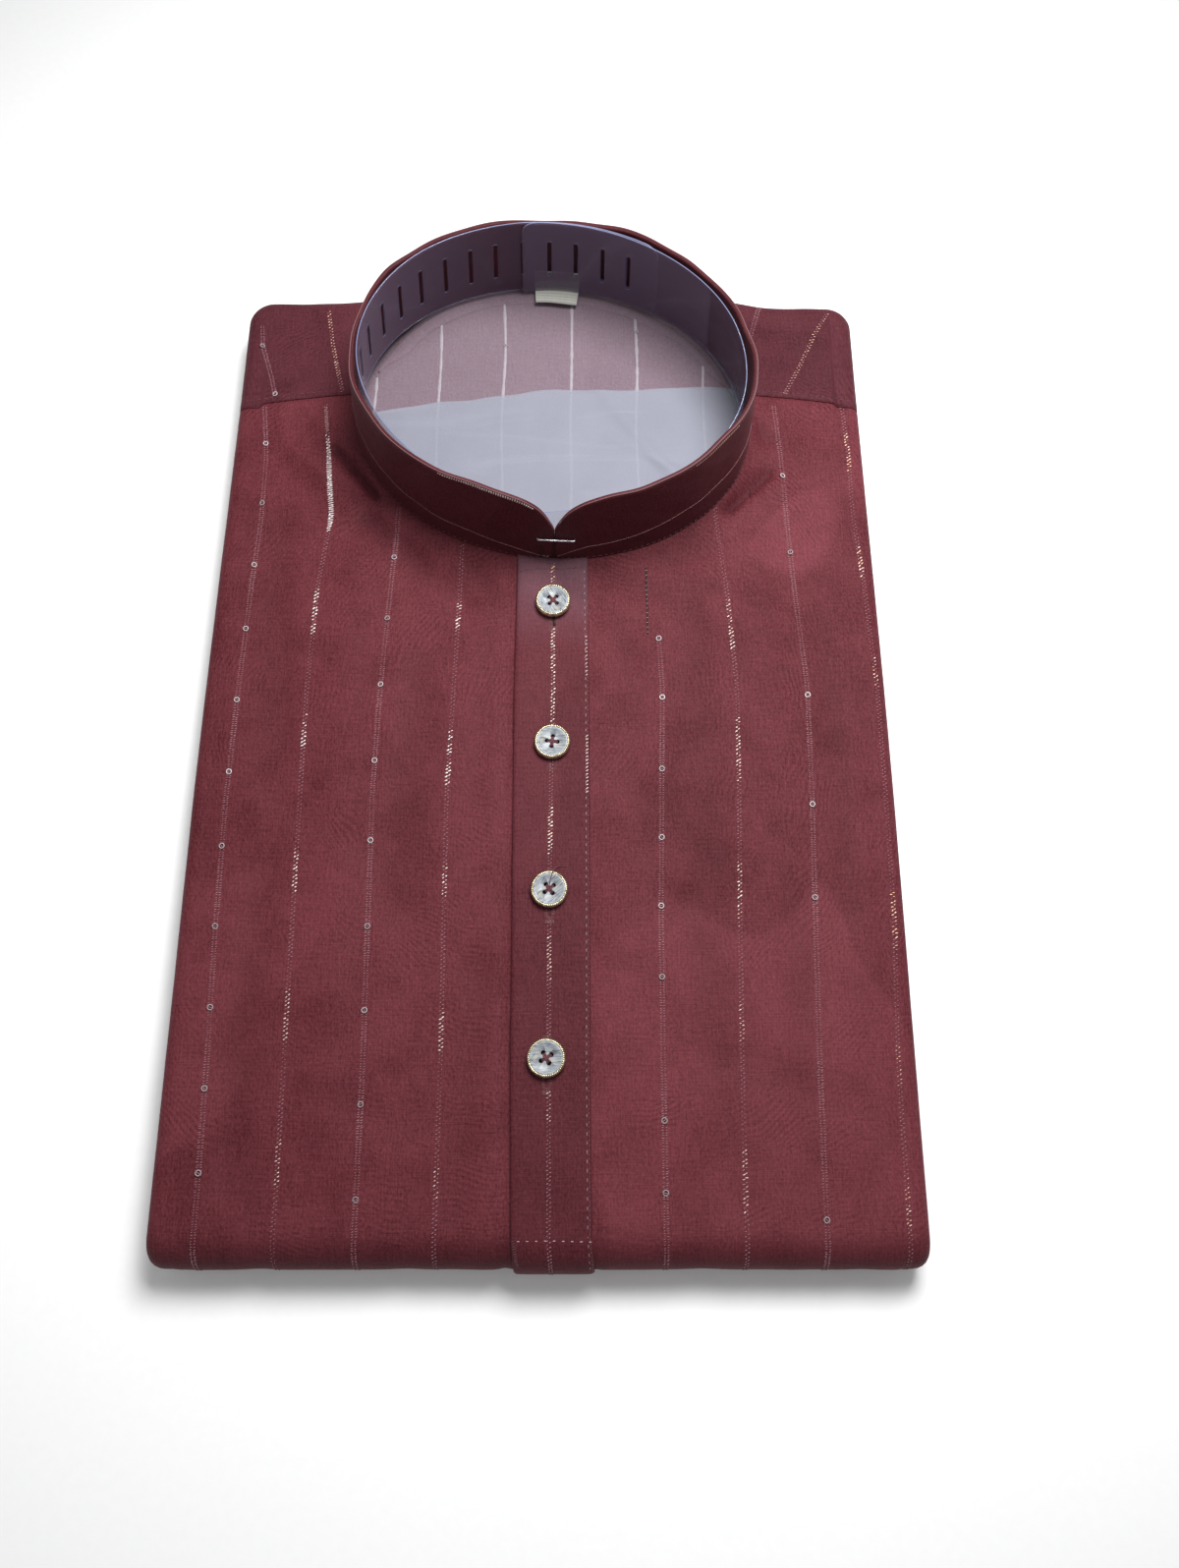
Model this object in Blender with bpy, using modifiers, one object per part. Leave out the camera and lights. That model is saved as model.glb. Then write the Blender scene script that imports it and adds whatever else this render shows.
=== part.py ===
"""A kurta tunic, folded flat for the shelf, front upwards.

The front wraps the side folds and the bottom fold and carries on along the underside, the yoke
wraps the top fold, and the stand collar is held open as an upright ring by a clear collar band.
Sleeves, back and tail are folded inside and share one layered solid.

Sizes are millimetres; MM turns them into Blender's metres. X runs across the pack, Y from the
bottom fold towards the shoulders, and Z up from the surface that the pack lies on.
"""

import math

import bmesh
import bpy
import numpy as np
from mathutils import Matrix, Vector

MM = 0.001

# The folded pack
PACK_HEIGHT = 21.0
MID_Z = PACK_HEIGHT / 2
CLOTH = 1.2
SEAM_GAP = 0.3
EDGE_AT_TOP = 120.8      # side edge, distance from the centre line at the shoulders
EDGE_AT_FOLD = 123.25    # and at the bottom fold
EDGE_SPREAD = 1.6        # full width is reached before the fold, at 1 / EDGE_SPREAD of the way
FOLD_Y = -174.9          # axis of the bottom fold
TAIL_END_Y = 173.0       # where the folded tail turns back, underneath
SHOULDER_Y = 178.4       # top edge of the pack at the shoulders
BACK_NECK_RISE = 8.45    # how far the back neck passes the shoulders
BACK_NECK_REACH = 92.0
RIGHT_SHOULDER_DROP = 2.6

# The rolled edge of a stack of layers, and the tuck behind it
ROLL = 5.0
ROLL_AT_NECK = 2.6
TIGHT_FROM = 30.0
TIGHT_TO = 90.0
ROLL_STEPS = 4
TUCK = 6.0
CORNER = 16.0
PARTING = 2.6            # from the middle plane to the tuck of each stack
LAYER_GAP = 0.4          # between the outer cloth and the layers under it
TUCK_GAP = 0.5
LIP_GAP = 0.35
# Folds of the hidden layers that show between the two stacks
EXPOSED_FOLDS = (
    # inset, share of the height between the tucks
    (3.6, 1.0),
    (2.5, 0.6),
    (3.0, 0.2),
    (4.6, 0.0),
)

# The neck seam and the stand collar, an oval turned a little
NECK_CENTRE = (1.5, 121.7)
NECK_LONG = 76.6
NECK_SHORT = 61.6
NECK_TURN = math.radians(-8.0)
NECK_RISE = 2.7          # the cloth lifts towards the collar
NECK_RISE_REACH = 10.0
NECK_LAP = 1.0           # body cloth that runs under the collar's foot
HIDDEN_NECK_RISE = 4.0   # how far the hidden layers follow the back neck
COLLAR_FOOT_GAP = 0.4
COLLAR_TAPER = 3.3       # how far the top of the collar leans in
COLLAR_TOP_SHIFT = (1.1, -0.4)
COLLAR_HEIGHT = 36.0
COLLAR_BACK_RISE = 3.2
COLLAR_WALL = 1.8
SLIT_ANGLE = math.radians(-82.4)
SLIT_GAP = 0.5
# The collar's rounded front ends, above the seam
COLLAR_FRONT = (
    # along the collar, height
    (0.0, 18.0),
    (2.5, 24.0),
    (6.0, 29.5),
    (11.0, 33.6),
    (18.0, 36.0),
)

# Yoke seam across the front
YOKE_SEAM_Y = 132.0
YOKE_SEAM_FALL = 4.6
YOKE_SEAM_FLAT = 80.0

# Soft troughs pressed beside the collar
CREASES = (
    # from x, from y, to x, to y, depth, half width
    (-83.0, 107.0, -66.0, 84.0, 1.8, 6.0),
    (76.0, 86.0, 91.0, 103.0, 1.6, 6.0),
)

# Inside of the back, seen through the neck
FLOOR_Z = 18.0
FLOOR_RISE = 4.3
FLOOR_RISE_REACH = 26.0
FLOOR_LAP = 8.0
FLOOR_BACK_INSET = 2.3
# How far to the back, from 0 at the sides to 1, the climb and the drawn-in edge begin and end
FLOOR_CLIMB_FROM = 0.3
FLOOR_CLIMB_OVER = 0.5
FLOOR_INSET_FROM = 0.1
FLOOR_INSET_OVER = 0.45
# The dish that the hidden layers leave for it
DISH_GAP = 0.6
DISH_MARGIN = 1.4
DISH_CLIMB = 0.7
DISH_FROM = 7.0
DISH_OVER = 11.0
NECK_STRIP_WIDTH = 6.0
NECK_STRIP_WALL = 1.0
NECK_STRIP_SPAN = (math.radians(34.0), math.radians(158.0))

# Packing film on the inside of the back
FILM_WALL = 0.6
FILM_GAP = 0.45
FILM_LAP = 5.0
FILM_SPAN = (-77.0, 79.5)
FILM_EDGE = (
    # x, y
    (-80.0, 123.0),
    (-57.0, 129.5),
    (-30.0, 132.5),
    (-7.0, 136.0),
    (16.0, 137.0),
    (84.0, 137.5),
)

# Placket strip on the front
PLACKET_WALL = 1.1
PLACKET_GAP = 0.35
PLACKET_TOP_GAP = 0.5    # under the collar's foot
PLACKET_END_TURN = math.radians(142.0)
PLACKET_END_STEPS = 7
PLACKET_DRIFT = 0.8      # it strays a little to the right as it turns under
PLACKET_EDGES = (
    # y, left x, right x
    (-174.9, -8.6, 16.9),
    (-128.0, -9.6, 16.4),
    (-63.0, -10.3, 16.3),
    (9.0, -11.0, 16.0),
    (57.8, -10.5, 15.4),
)

# Buttons
BUTTON_RADIUS = 6.1
BUTTON_THICK = 2.4
BUTTON_GAP = 0.3
BUTTON_HOLE_RADIUS = 0.75
BUTTON_HOLE_STEP = 1.25
BUTTON_PROFILE = (
    # radius, height: the dished face, the rim, and the back
    (0.0, 1.35),
    (3.7, 1.45),
    (4.5, 2.1),
    (5.3, BUTTON_THICK),
    (5.9, 2.05),
    (BUTTON_RADIUS, 1.3),
    (5.5, 0.35),
    (4.2, 0.0),
    (0.0, 0.0),
)
BUTTONS = (
    # name, x, y, turn in degrees
    ("button_1", 2.75, 42.6, 4.0),
    ("button_2", 2.95, -11.9, 38.0),
    ("button_3", 2.45, -64.8, -8.0),
    ("button_4", 2.05, -120.6, -15.0),
)

# Clear collar band, one strip whose tab laps its slotted end at the back
BAND_WALL = 0.6
BAND_INSET = COLLAR_WALL + 1.4
BAND_LAP_INSET = 0.95
BAND_START = math.radians(60.0)
BAND_LAP_FROM = math.radians(350.0)
BAND_LAP_OVER = math.radians(60.0)
BAND_STEP = math.radians(6.0)
BAND_STEPS = 67
BAND_LOW_Z = 25.5
BAND_TOP_FRONT_Z = 50.0
BAND_TOP_BACK_Z = 63.0

# Neck label, sewn in behind the band
LABEL_WALL = 0.6
LABEL_INSET = COLLAR_WALL + SEAM_GAP + LABEL_WALL
LABEL_CENTRE_ANGLE = math.radians(95.2)
LABEL_HALF_WIDTH = 9.2
LABEL_TOP_Z = 40.0
LABEL_FOOT = 6.5         # how far the foot runs out over the neck strip
LABEL_CLEAR = 0.9        # under the band's low edge
# The curve of the label where it turns out under the band
LABEL_CURVE = (
    # further inset, height against the foot
    (0.0, 1.0),
    (0.9, 0.25),
    (3.25, -0.1),
    (LABEL_FOOT, -0.75),
)

# Steel pin across the collar's front ends
PIN_RADIUS = 0.4
PIN_ENDS = ((-2.7, 60.3, 37.6), (10.8, 59.9, 37.2))

GRID_NECK = 20           # columns that end on the neck seam
GRID_SEAM = 3            # columns between neck and side
FOLD_STEPS = 8           # round the bottom fold
# Rows of the front, as shares of the way from seam or neck to the fold, closer by the neck
FRONT_ROWS = (0.0, 0.012, 0.03, 0.055, 0.09, 0.14, 0.21, 0.3, 0.42, 0.56, 0.7, 0.85, 1.0)
YOKE_FLAT_STEPS = 3


def smooth(value):
    """A ramp from 0 to 1 that starts and ends level."""
    held = np.clip(value, 0.0, 1.0)
    return held * held * (3.0 - 2.0 * held)


def column(table, number):
    """One column of a table."""
    return [row[number] for row in table]


# ---------------------------------------------------------------- plan of the pack


def side_edge(y):
    """Distance of the side folds from the centre line."""
    down = (SHOULDER_Y - y) / (SHOULDER_Y - FOLD_Y)
    return EDGE_AT_TOP + (EDGE_AT_FOLD - EDGE_AT_TOP) * smooth(EDGE_SPREAD * down)


def top_edge(x):
    """Y of the top fold: shoulders, and the back neck passing them."""
    neck = BACK_NECK_RISE * (1.0 - smooth(abs(x - NECK_CENTRE[0]) / BACK_NECK_REACH))
    drop = RIGHT_SHOULDER_DROP * smooth((x - 60.0) / 45.0)
    return SHOULDER_Y + neck - drop


def yoke_seam(x):
    """Y of the seam between front and yoke."""
    out = max(abs(x) - YOKE_SEAM_FLAT, 0.0) / (EDGE_AT_TOP - YOKE_SEAM_FLAT)
    return YOKE_SEAM_Y - YOKE_SEAM_FALL * out * out


def ring_point(angle, inset=0.0, level=0.0):
    """Plan point of the collar's oval: level 0 at the seam, 1 at COLLAR_HEIGHT above it."""
    long_half = NECK_LONG - COLLAR_TAPER * level - inset
    short_half = NECK_SHORT - COLLAR_TAPER * level - inset
    u = long_half * math.cos(angle)
    v = short_half * math.sin(angle)
    x = NECK_CENTRE[0] + COLLAR_TOP_SHIFT[0] * level
    y = NECK_CENTRE[1] + COLLAR_TOP_SHIFT[1] * level
    c, s = math.cos(NECK_TURN), math.sin(NECK_TURN)
    return x + u * c - v * s, y + u * s + v * c


def neck_polar(x, y):
    """Gap outside the neck seam (negative inside), and how far to the back it lies, -1 to 1."""
    dx, dy = x - NECK_CENTRE[0], y - NECK_CENTRE[1]
    c, s = math.cos(NECK_TURN), math.sin(NECK_TURN)
    u = (dx * c + dy * s) / NECK_LONG
    v = (-dx * s + dy * c) / NECK_SHORT
    radius = math.hypot(u, v)
    reach = math.hypot(dx, dy)
    gap = reach * (1.0 - 1.0 / radius) if radius > 1e-6 else -NECK_SHORT
    return gap, (v / radius if radius > 1e-6 else 0.0)


def crease_depth(x, y):
    """Depth of the soft troughs at a plan point."""
    total = 0.0
    for x0, y0, x1, y1, depth, half_width in CREASES:
        dx, dy = x1 - x0, y1 - y0
        along = ((x - x0) * dx + (y - y0) * dy) / (dx * dx + dy * dy)
        along = min(max(along, 0.0), 1.0)
        off = math.hypot(x - x0 - along * dx, y - y0 - along * dy)
        total += depth * math.exp(-((off / half_width) ** 2))
    return total


def outer_z(x, y):
    """Height of the outer cloth face on top of the pack."""
    gap, _ = neck_polar(x, y)
    rise = NECK_RISE * math.exp(-max(gap, 0.0) / NECK_RISE_REACH)
    return PACK_HEIGHT + rise - crease_depth(x, y)


def floor_z(x, y):
    """Height of the back's inside, which climbs to the back neck seam."""
    gap, back = neck_polar(x, y)
    share = float(smooth((back - FLOOR_CLIMB_FROM) / FLOOR_CLIMB_OVER))
    return FLOOR_Z + FLOOR_RISE * share * float(smooth(1.0 + gap / FLOOR_RISE_REACH))


def hidden_z(x, y):
    """Height of the hidden layers: a shallow dish under the neck, clear of the outer cloth."""
    gap, _ = neck_polar(x, y)
    field = PACK_HEIGHT - CLOTH - LAYER_GAP - DISH_MARGIN * crease_depth(x, y)
    dish = FLOOR_Z - CLOTH - DISH_GAP + DISH_CLIMB * (floor_z(x, y) - FLOOR_Z)
    return dish + (field - dish) * float(smooth((gap - FLOOR_LAP - DISH_FROM) / DISH_OVER))


# ---------------------------------------------------------------- layered edges


def cloth_rim():
    """Outer face of a rolled edge, from the corner's middle out, round and back into the tuck.

    Each row is the inset from the edge and the distance from the middle plane.
    """
    half = (MID_Z - PARTING) / 2
    rim = [(CORNER, MID_Z), ((CORNER + ROLL) / 2, MID_Z)]
    for step in range(ROLL_STEPS + 1):
        turn = math.pi * step / ROLL_STEPS
        rim.append((ROLL * (1 - math.sin(turn)), PARTING + half * (1 + math.cos(turn))))
    rim.append((ROLL + TUCK, PARTING))
    return rim


def hidden_rim():
    """Edge of the hidden layers: inside the roll, round the tuck, then two exposed folds."""
    wall = CLOTH + LAYER_GAP
    half = (MID_Z - PARTING) / 2
    rim = [(CORNER, MID_Z - wall), ((CORNER + ROLL) / 2, MID_Z - wall)]
    for step in range(ROLL_STEPS + 1):
        turn = math.pi * step / ROLL_STEPS
        inset = ROLL - (ROLL - wall) * math.sin(turn)
        rim.append((inset, PARTING + half + (half - wall) * math.cos(turn)))
    behind = ROLL + TUCK + TUCK_GAP
    lip = PARTING - LIP_GAP
    rim.append((behind, PARTING + wall))
    rim.append((behind, lip))
    rim += [(inset, share * lip) for inset, share in EXPOSED_FOLDS]
    return rim


def corner_cell(across, along):
    """Ring and turn of a corner's grid cell, so that square rings become round ones."""
    ring = max(across, along)
    if ring == 0:
        return 0, 0.0
    if across >= along:
        return ring, math.pi / 4 * along / across
    return ring, math.pi / 2 - math.pi / 4 * across / along


def roll_inset(inset, x):
    """The roll at the top edge tightens behind the neck, where little cloth is left."""
    out = (abs(x - NECK_CENTRE[0]) - TIGHT_FROM) / (TIGHT_TO - TIGHT_FROM)
    tight = 1.0 - (1.0 - ROLL_AT_NECK / ROLL) * (1.0 - float(smooth(out)))
    return inset * tight


def end_point(column_place, along, rim, end_y, edge):
    """Plan point and distance from the middle plane, on a row of a layer's rolled far end."""
    side, across, x = column_place
    if side == 0:
        return x, end_y(x) - rim[along][0], rim[along][1]
    ring, turn = corner_cell(across, along)
    inset, distance = rim[ring]
    reach = CORNER - inset
    centre_x = edge - CORNER
    centre_y = end_y(side * centre_x) - CORNER
    return side * (centre_x + reach * math.cos(turn)), centre_y + reach * math.sin(turn), distance


def column_places(rim, middle_x):
    """Columns of a layer, left to right: side, ring of the rim, and x between the corners."""
    rings = range(1, len(rim))
    places = [(-1, ring, 0.0) for ring in reversed(rings)]
    places += [(0, 0, float(x)) for x in middle_x]
    places += [(1, ring, 0.0) for ring in rings]
    return places


def turned_rows(places, rim):
    """Rows that carry a layer round the bottom fold, from the top face to the underside."""
    rows = []
    for step in range(1, FOLD_STEPS):
        turn = math.pi * step / FOLD_STEPS
        row = []
        for side, ring, x in places:
            distance = rim[ring][1]
            if side:
                x = side * (EDGE_AT_FOLD - rim[ring][0])
            row.append((x, FOLD_Y - distance * math.sin(turn), MID_Z + distance * math.cos(turn)))
        rows.append(row)
    return rows


def tail_edge(_x):
    """Y of the tail's fold, underneath."""
    return TAIL_END_Y


# ---------------------------------------------------------------- meshes


def finish(name, mesh, collection, colour, roughness, metallic=0.0):
    """An object for one piece, with its own material, in the kurta's collection."""
    piece = bpy.data.objects.new(name, mesh)
    collection.objects.link(piece)
    material = bpy.data.materials.new(name)
    material.use_nodes = True
    shader = material.node_tree.nodes["Principled BSDF"]
    shader.inputs["Base Color"].default_value = (*colour, 1.0)
    shader.inputs["Roughness"].default_value = roughness
    shader.inputs["Metallic"].default_value = metallic
    mesh.materials.append(material)
    mesh.shade_smooth()
    mesh.set_sharp_from_angle(angle=math.radians(50))
    return piece


def grid_mesh(name, rows, weld=0.0):
    """A mesh through rows of points, its faces turned to the right of the way the rows run."""
    mesh = bpy.data.meshes.new(name)
    shape = bmesh.new()
    grid = [[shape.verts.new(Vector(point) * MM) for point in row] for row in rows]
    for near, far in zip(grid, grid[1:]):
        for i in range(len(near) - 1):
            shape.faces.new((near[i], far[i], far[i + 1], near[i + 1]))
    if weld:
        bmesh.ops.remove_doubles(shape, verts=shape.verts, dist=weld * MM)
        bmesh.ops.dissolve_degenerate(shape, edges=shape.edges, dist=weld * MM)
        bmesh.ops.recalc_face_normals(shape, faces=shape.faces)
    shape.to_mesh(mesh)
    shape.free()
    return mesh


def sheet(name, rows, thickness, collection, colour, roughness, outward=False):
    """A wall of cloth or film on a grid of points, thickened inwards or outwards."""
    mesh = grid_mesh(name, rows)
    piece = finish(name, mesh, collection, colour, roughness)
    wall = piece.modifiers.new("Wall", "SOLIDIFY")
    wall.thickness = thickness * MM
    wall.offset = 1.0 if outward else -1.0
    return piece


# ---------------------------------------------------------------- body pieces


def seam_angles():
    """Angles at which the neck oval meets the yoke seam, right and left."""
    angles = np.linspace(-0.3, 0.5, 801)
    right = min(angles, key=lambda a: abs(ring_point(a, NECK_LAP)[1] - YOKE_SEAM_Y))
    angles = np.linspace(math.pi - 0.5, math.pi + 0.5, 1001)
    left = min(angles, key=lambda a: abs(ring_point(a, NECK_LAP)[1] - YOKE_SEAM_Y))
    return float(right), float(left)


def neck_ends(front):
    """Upper ends of the columns between the corners, left to right, on seam and neck."""
    right, left = seam_angles()
    if front:
        angles = np.linspace(left, 2 * math.pi + right, GRID_NECK + 1)
    else:
        angles = np.linspace(left, right, GRID_NECK + 1)
    oval = [ring_point(float(angle), NECK_LAP) for angle in angles]
    if front:
        oval[0] = (min(column(oval, 0)) - NECK_LAP / 2, oval[0][1])
        oval[-1] = (max(column(oval, 0)) + NECK_LAP / 2, oval[-1][1])
    inner = side_edge(YOKE_SEAM_Y) - CORNER
    left_x = np.linspace(-inner, oval[0][0], GRID_SEAM + 1)[:-1]
    right_x = np.linspace(oval[-1][0], inner, GRID_SEAM + 1)[1:]
    ends = [(float(x), yoke_seam(x)) for x in left_x]
    ends += oval
    ends += [(float(x), yoke_seam(x)) for x in right_x]
    return ends


def upper_z(x, y, distance):
    """Height of a point of the upper stack, given its distance from the middle plane."""
    share = max(distance - PARTING, 0.0) / (MID_Z - PARTING)
    return MID_Z + distance + (outer_z(x, y) - PACK_HEIGHT) * share


def front_rows():
    """The front: down the top face, round the bottom fold, and along the underside."""
    rim = cloth_rim()
    last = len(rim) - 1
    ends = neck_ends(front=True)
    neck_last = GRID_SEAM + GRID_NECK
    neck_left, neck_right = ends[GRID_SEAM][0], ends[neck_last][0]
    low_x = column(ends, 0)
    for i in range(GRID_SEAM, neck_last + 1):
        low_x[i] = neck_left + (neck_right - neck_left) * (i - GRID_SEAM) / GRID_NECK
    low_x[0] = CORNER - EDGE_AT_FOLD
    low_x[-1] = EDGE_AT_FOLD - CORNER
    side_start = yoke_seam(side_edge(YOKE_SEAM_Y)) - SEAM_GAP / 2

    rows = []
    for share in FRONT_ROWS:
        y = side_start + (FOLD_Y - side_start) * share
        sides = {}
        for side in (-1, 1):
            xs = [side * (side_edge(y) - rim[ring][0]) for ring in range(1, last + 1)]
            sides[side] = [(x, y, upper_z(x, y, rim[ring + 1][1])) for ring, x in enumerate(xs)]
        middle = []
        for (top_x, top_y), low in zip(ends, low_x):
            start = top_y - SEAM_GAP / 2
            x, y = top_x + (low - top_x) * share, start + (FOLD_Y - start) * share
            middle.append((x, y, outer_z(x, y)))
        rows.append(sides[-1][::-1] + middle + sides[1])

    places = column_places(rim, low_x)
    rows += turned_rows(places, rim)
    end_edge = float(side_edge(TAIL_END_Y))
    narrowed = (end_edge - CORNER) / (EDGE_AT_FOLD - CORNER)
    for share in np.linspace(0.0, 1.0, 6):
        y = FOLD_Y + (TAIL_END_Y - CORNER - FOLD_Y) * float(share)
        edge = EDGE_AT_FOLD + (end_edge - EDGE_AT_FOLD) * float(share)
        row = []
        for side, ring, x in places:
            x = side * (edge - rim[ring][0]) if side else x * (1.0 + (narrowed - 1.0) * float(share))
            row.append((x, y, MID_Z - rim[ring][1]))
        rows.append(row)
    narrow_places = column_places(rim, [x * narrowed for x in low_x])
    for along in range(1, last + 1):
        found = [end_point(place, along, rim, tail_edge, end_edge) for place in narrow_places]
        rows.append([(x, y, MID_Z - distance) for x, y, distance in found])
    return rows


def yoke_rows():
    """The yoke: from the front seam and the back neck over the top fold."""
    rim = cloth_rim()
    last = len(rim) - 1
    roll_ring = 2
    ends = neck_ends(front=False)
    edge = float(side_edge(SHOULDER_Y))
    side_start = yoke_seam(side_edge(YOKE_SEAM_Y)) + SEAM_GAP / 2

    def side_row(side, step):
        row = []
        centre_y = top_edge(side * (edge - CORNER)) - CORNER
        for ring in range(1, last + 1):
            if step >= 0:
                x, y, distance = end_point((side, ring, 0.0), step, rim, top_edge, edge)
            else:
                y = centre_y + (side_start - centre_y) * (-step / YOKE_FLAT_STEPS)
                x, distance = side * (edge - rim[ring][0]), rim[ring][1]
            row.append((x, y, upper_z(x, y, distance)))
        return row

    def middle_point(x, start_y, step):
        if step > roll_ring:
            return x, top_edge(x) - roll_inset(rim[step][0], x), rim[step][1]
        corner_y = top_edge(math.copysign(edge - CORNER, x)) - CORNER
        if step >= 0:
            passed = corner_y - YOKE_SEAM_Y + CORNER - rim[step][0]
        else:
            passed = (corner_y - YOKE_SEAM_Y) * (1 + step / YOKE_FLAT_STEPS)
        share = min(max(passed / (corner_y + CORNER - ROLL - YOKE_SEAM_Y), 0.0), 1.0)
        low = start_y + SEAM_GAP / 2
        return x, low + (top_edge(x) - roll_inset(ROLL, x) - low) * share, MID_Z

    rows = []
    for step in range(last, -YOKE_FLAT_STEPS - 1, -1):
        found = [middle_point(x, start_y, step) for x, start_y in ends]
        middle = [(x, y, upper_z(x, y, distance)) for x, y, distance in found]
        rows.append(side_row(-1, step)[::-1] + middle + side_row(1, step))
    return rows


def hidden_height(x, y, distance):
    """Height of a point of the hidden layers' upper half."""
    flat = MID_Z - CLOTH - LAYER_GAP
    low = PARTING + CLOTH
    share = max(distance - low, 0.0) / (flat - low)
    return MID_Z + distance + (hidden_z(x, y) - MID_Z - flat) * share


def hidden_rows():
    """Closed skin of the hidden layers: over the top, round the bottom fold and back below."""
    rim = hidden_rim()
    last = len(rim) - 1
    exposed = len(rim) - len(EXPOSED_FOLDS) - 1
    edge = float(side_edge(TAIL_END_Y))
    places = column_places(rim, np.linspace(CORNER - EDGE_AT_TOP, EDGE_AT_TOP - CORNER, 21))
    straight = [float(y) for y in np.linspace(TAIL_END_Y - CORNER, FOLD_Y, 27)]

    def upper_end(x):
        return min(top_edge(x), SHOULDER_Y + HIDDEN_NECK_RISE) - TUCK_GAP

    def end_row(along, lower):
        row = []
        for place in places:
            side, ring, _ = place
            nearest = max(ring, along)
            end_y = tail_edge if lower or nearest >= exposed else upper_end
            x, y, distance = end_point(place, along, rim, end_y, edge)
            if side:
                x = side * min(abs(x), edge - rim[nearest][0])
            row.append((x, y, MID_Z - distance if lower else hidden_height(x, y, distance)))
        return row

    def straight_row(y, lower):
        row = []
        spread = (EDGE_AT_FOLD - edge) * (straight[0] - y) / (straight[0] - FOLD_Y)
        for side, ring, x in places:
            distance = rim[ring][1]
            if side:
                x = side * (edge + spread - rim[ring][0])
            row.append((x, y, MID_Z - distance if lower else hidden_height(x, y, distance)))
        return row

    rows = [end_row(along, False) for along in range(last, 0, -1)]
    rows += [straight_row(y, False) for y in straight]
    rows += turned_rows(places, rim)
    rows += [straight_row(y, True) for y in reversed(straight)]
    rows += [end_row(along, True) for along in range(1, last + 1)]
    return rows


def back_rows():
    """Inside of the back under the neck, ring by ring from its middle."""
    rows = []
    turns = np.linspace(0.0, 2 * math.pi, 37)[:-1]
    for share in (0.0, 0.34, 0.6, 0.76, 0.88, 1.0):
        row = []
        for turn in turns:
            back = float(smooth((math.sin(turn) - FLOOR_INSET_FROM) / FLOOR_INSET_OVER))
            outset = FLOOR_LAP - (FLOOR_LAP + FLOOR_BACK_INSET) * back
            x, y = ring_point(float(turn), -outset)
            x = NECK_CENTRE[0] + (x - NECK_CENTRE[0]) * share
            y = NECK_CENTRE[1] + (y - NECK_CENTRE[1]) * share
            row.append((x, y, floor_z(x, y)))
        rows.append(row)
    return rows


def make_back(collection):
    """The inside of the back: a wall on rings that close on themselves."""
    rows = back_rows()
    mesh = bpy.data.meshes.new("back")
    shape = bmesh.new()
    middle = shape.verts.new(Vector(rows[0][0]) * MM)
    rings = [[shape.verts.new(Vector(point) * MM) for point in row] for row in rows[1:]]
    count = len(rings[0])
    for i in range(count):
        shape.faces.new((middle, rings[0][i], rings[0][(i + 1) % count]))
    for near, far in zip(rings, rings[1:]):
        for i in range(count):
            after = (i + 1) % count
            shape.faces.new((near[i], far[i], far[after], near[after]))
    shape.to_mesh(mesh)
    shape.free()
    piece = finish("back", mesh, collection, (0.33, 0.22, 0.27), 0.8)
    wall = piece.modifiers.new("Wall", "SOLIDIFY")
    wall.thickness = CLOTH * MM
    wall.offset = -1.0
    return piece


def neck_strip_rows():
    """The strip that covers the back neck seam on the inside."""
    first, last = NECK_STRIP_SPAN
    rows = []
    for inset in (FLOOR_BACK_INSET + SEAM_GAP, FLOOR_BACK_INSET + NECK_STRIP_WIDTH):
        found = [ring_point(float(turn), inset) for turn in np.linspace(last, first, 25)]
        rows.append([(x, y, floor_z(x, y) + LAYER_GAP) for x, y in found])
    return rows


def film_rows():
    """The packing film: it lies on the inside of the back and runs under the front."""
    rows = []
    columns = np.linspace(*FILM_SPAN, 19)
    angles = np.linspace(math.pi, 2 * math.pi, 721)
    oval = np.array([ring_point(float(angle), -FILM_LAP) for angle in angles])
    order = np.argsort(oval[:, 0])
    for share in np.linspace(1.0, 0.0, 8):
        row = []
        for x in columns:
            low = float(np.interp(x, oval[order, 0], oval[order, 1]))
            edge = float(np.interp(x, column(FILM_EDGE, 0), column(FILM_EDGE, 1)))
            y = low + (edge - low) * share
            row.append((float(x), y, floor_z(x, y) + FILM_GAP))
        rows.append(row)
    return rows


# ---------------------------------------------------------------- collar, band, label, pin


def collar_height(along, angle):
    """Height of the collar above its seam, from the rounded front end to the higher back."""
    front = float(np.interp(along, column(COLLAR_FRONT, 0), column(COLLAR_FRONT, 1)))
    return front + COLLAR_BACK_RISE * (1.0 + math.sin(angle)) / 2


def collar_rows():
    """Outer face of the stand collar, from top to foot, once round from slit to slit."""
    fine = np.linspace(SLIT_ANGLE, SLIT_ANGLE + 2 * math.pi, 2881)
    points = np.array([ring_point(float(angle)) for angle in fine])
    length = np.concatenate([[0.0], np.cumsum(np.hypot(*np.diff(points, axis=0).T))])
    total = float(length[-1])
    ends = [along + SLIT_GAP / 2 for along in column(COLLAR_FRONT, 0)]
    between = np.linspace(ends[-1], total - ends[-1], 50)[1:-1]
    stations = ends + [float(along) for along in between] + [total - along for along in ends[::-1]]
    rows = []
    for share in (1.0, 0.66, 0.33, 0.0):
        row = []
        for along in stations:
            angle = float(np.interp(along, length, fine))
            x, y = ring_point(angle)
            foot = outer_z(x, y) + COLLAR_FOOT_GAP
            from_slit = min(along, total - along) - SLIT_GAP / 2
            height = collar_height(from_slit, angle) * share
            x, y = ring_point(angle, 0.0, height / COLLAR_HEIGHT)
            row.append((x, y, foot + height))
        rows.append(row)
    return rows


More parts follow.
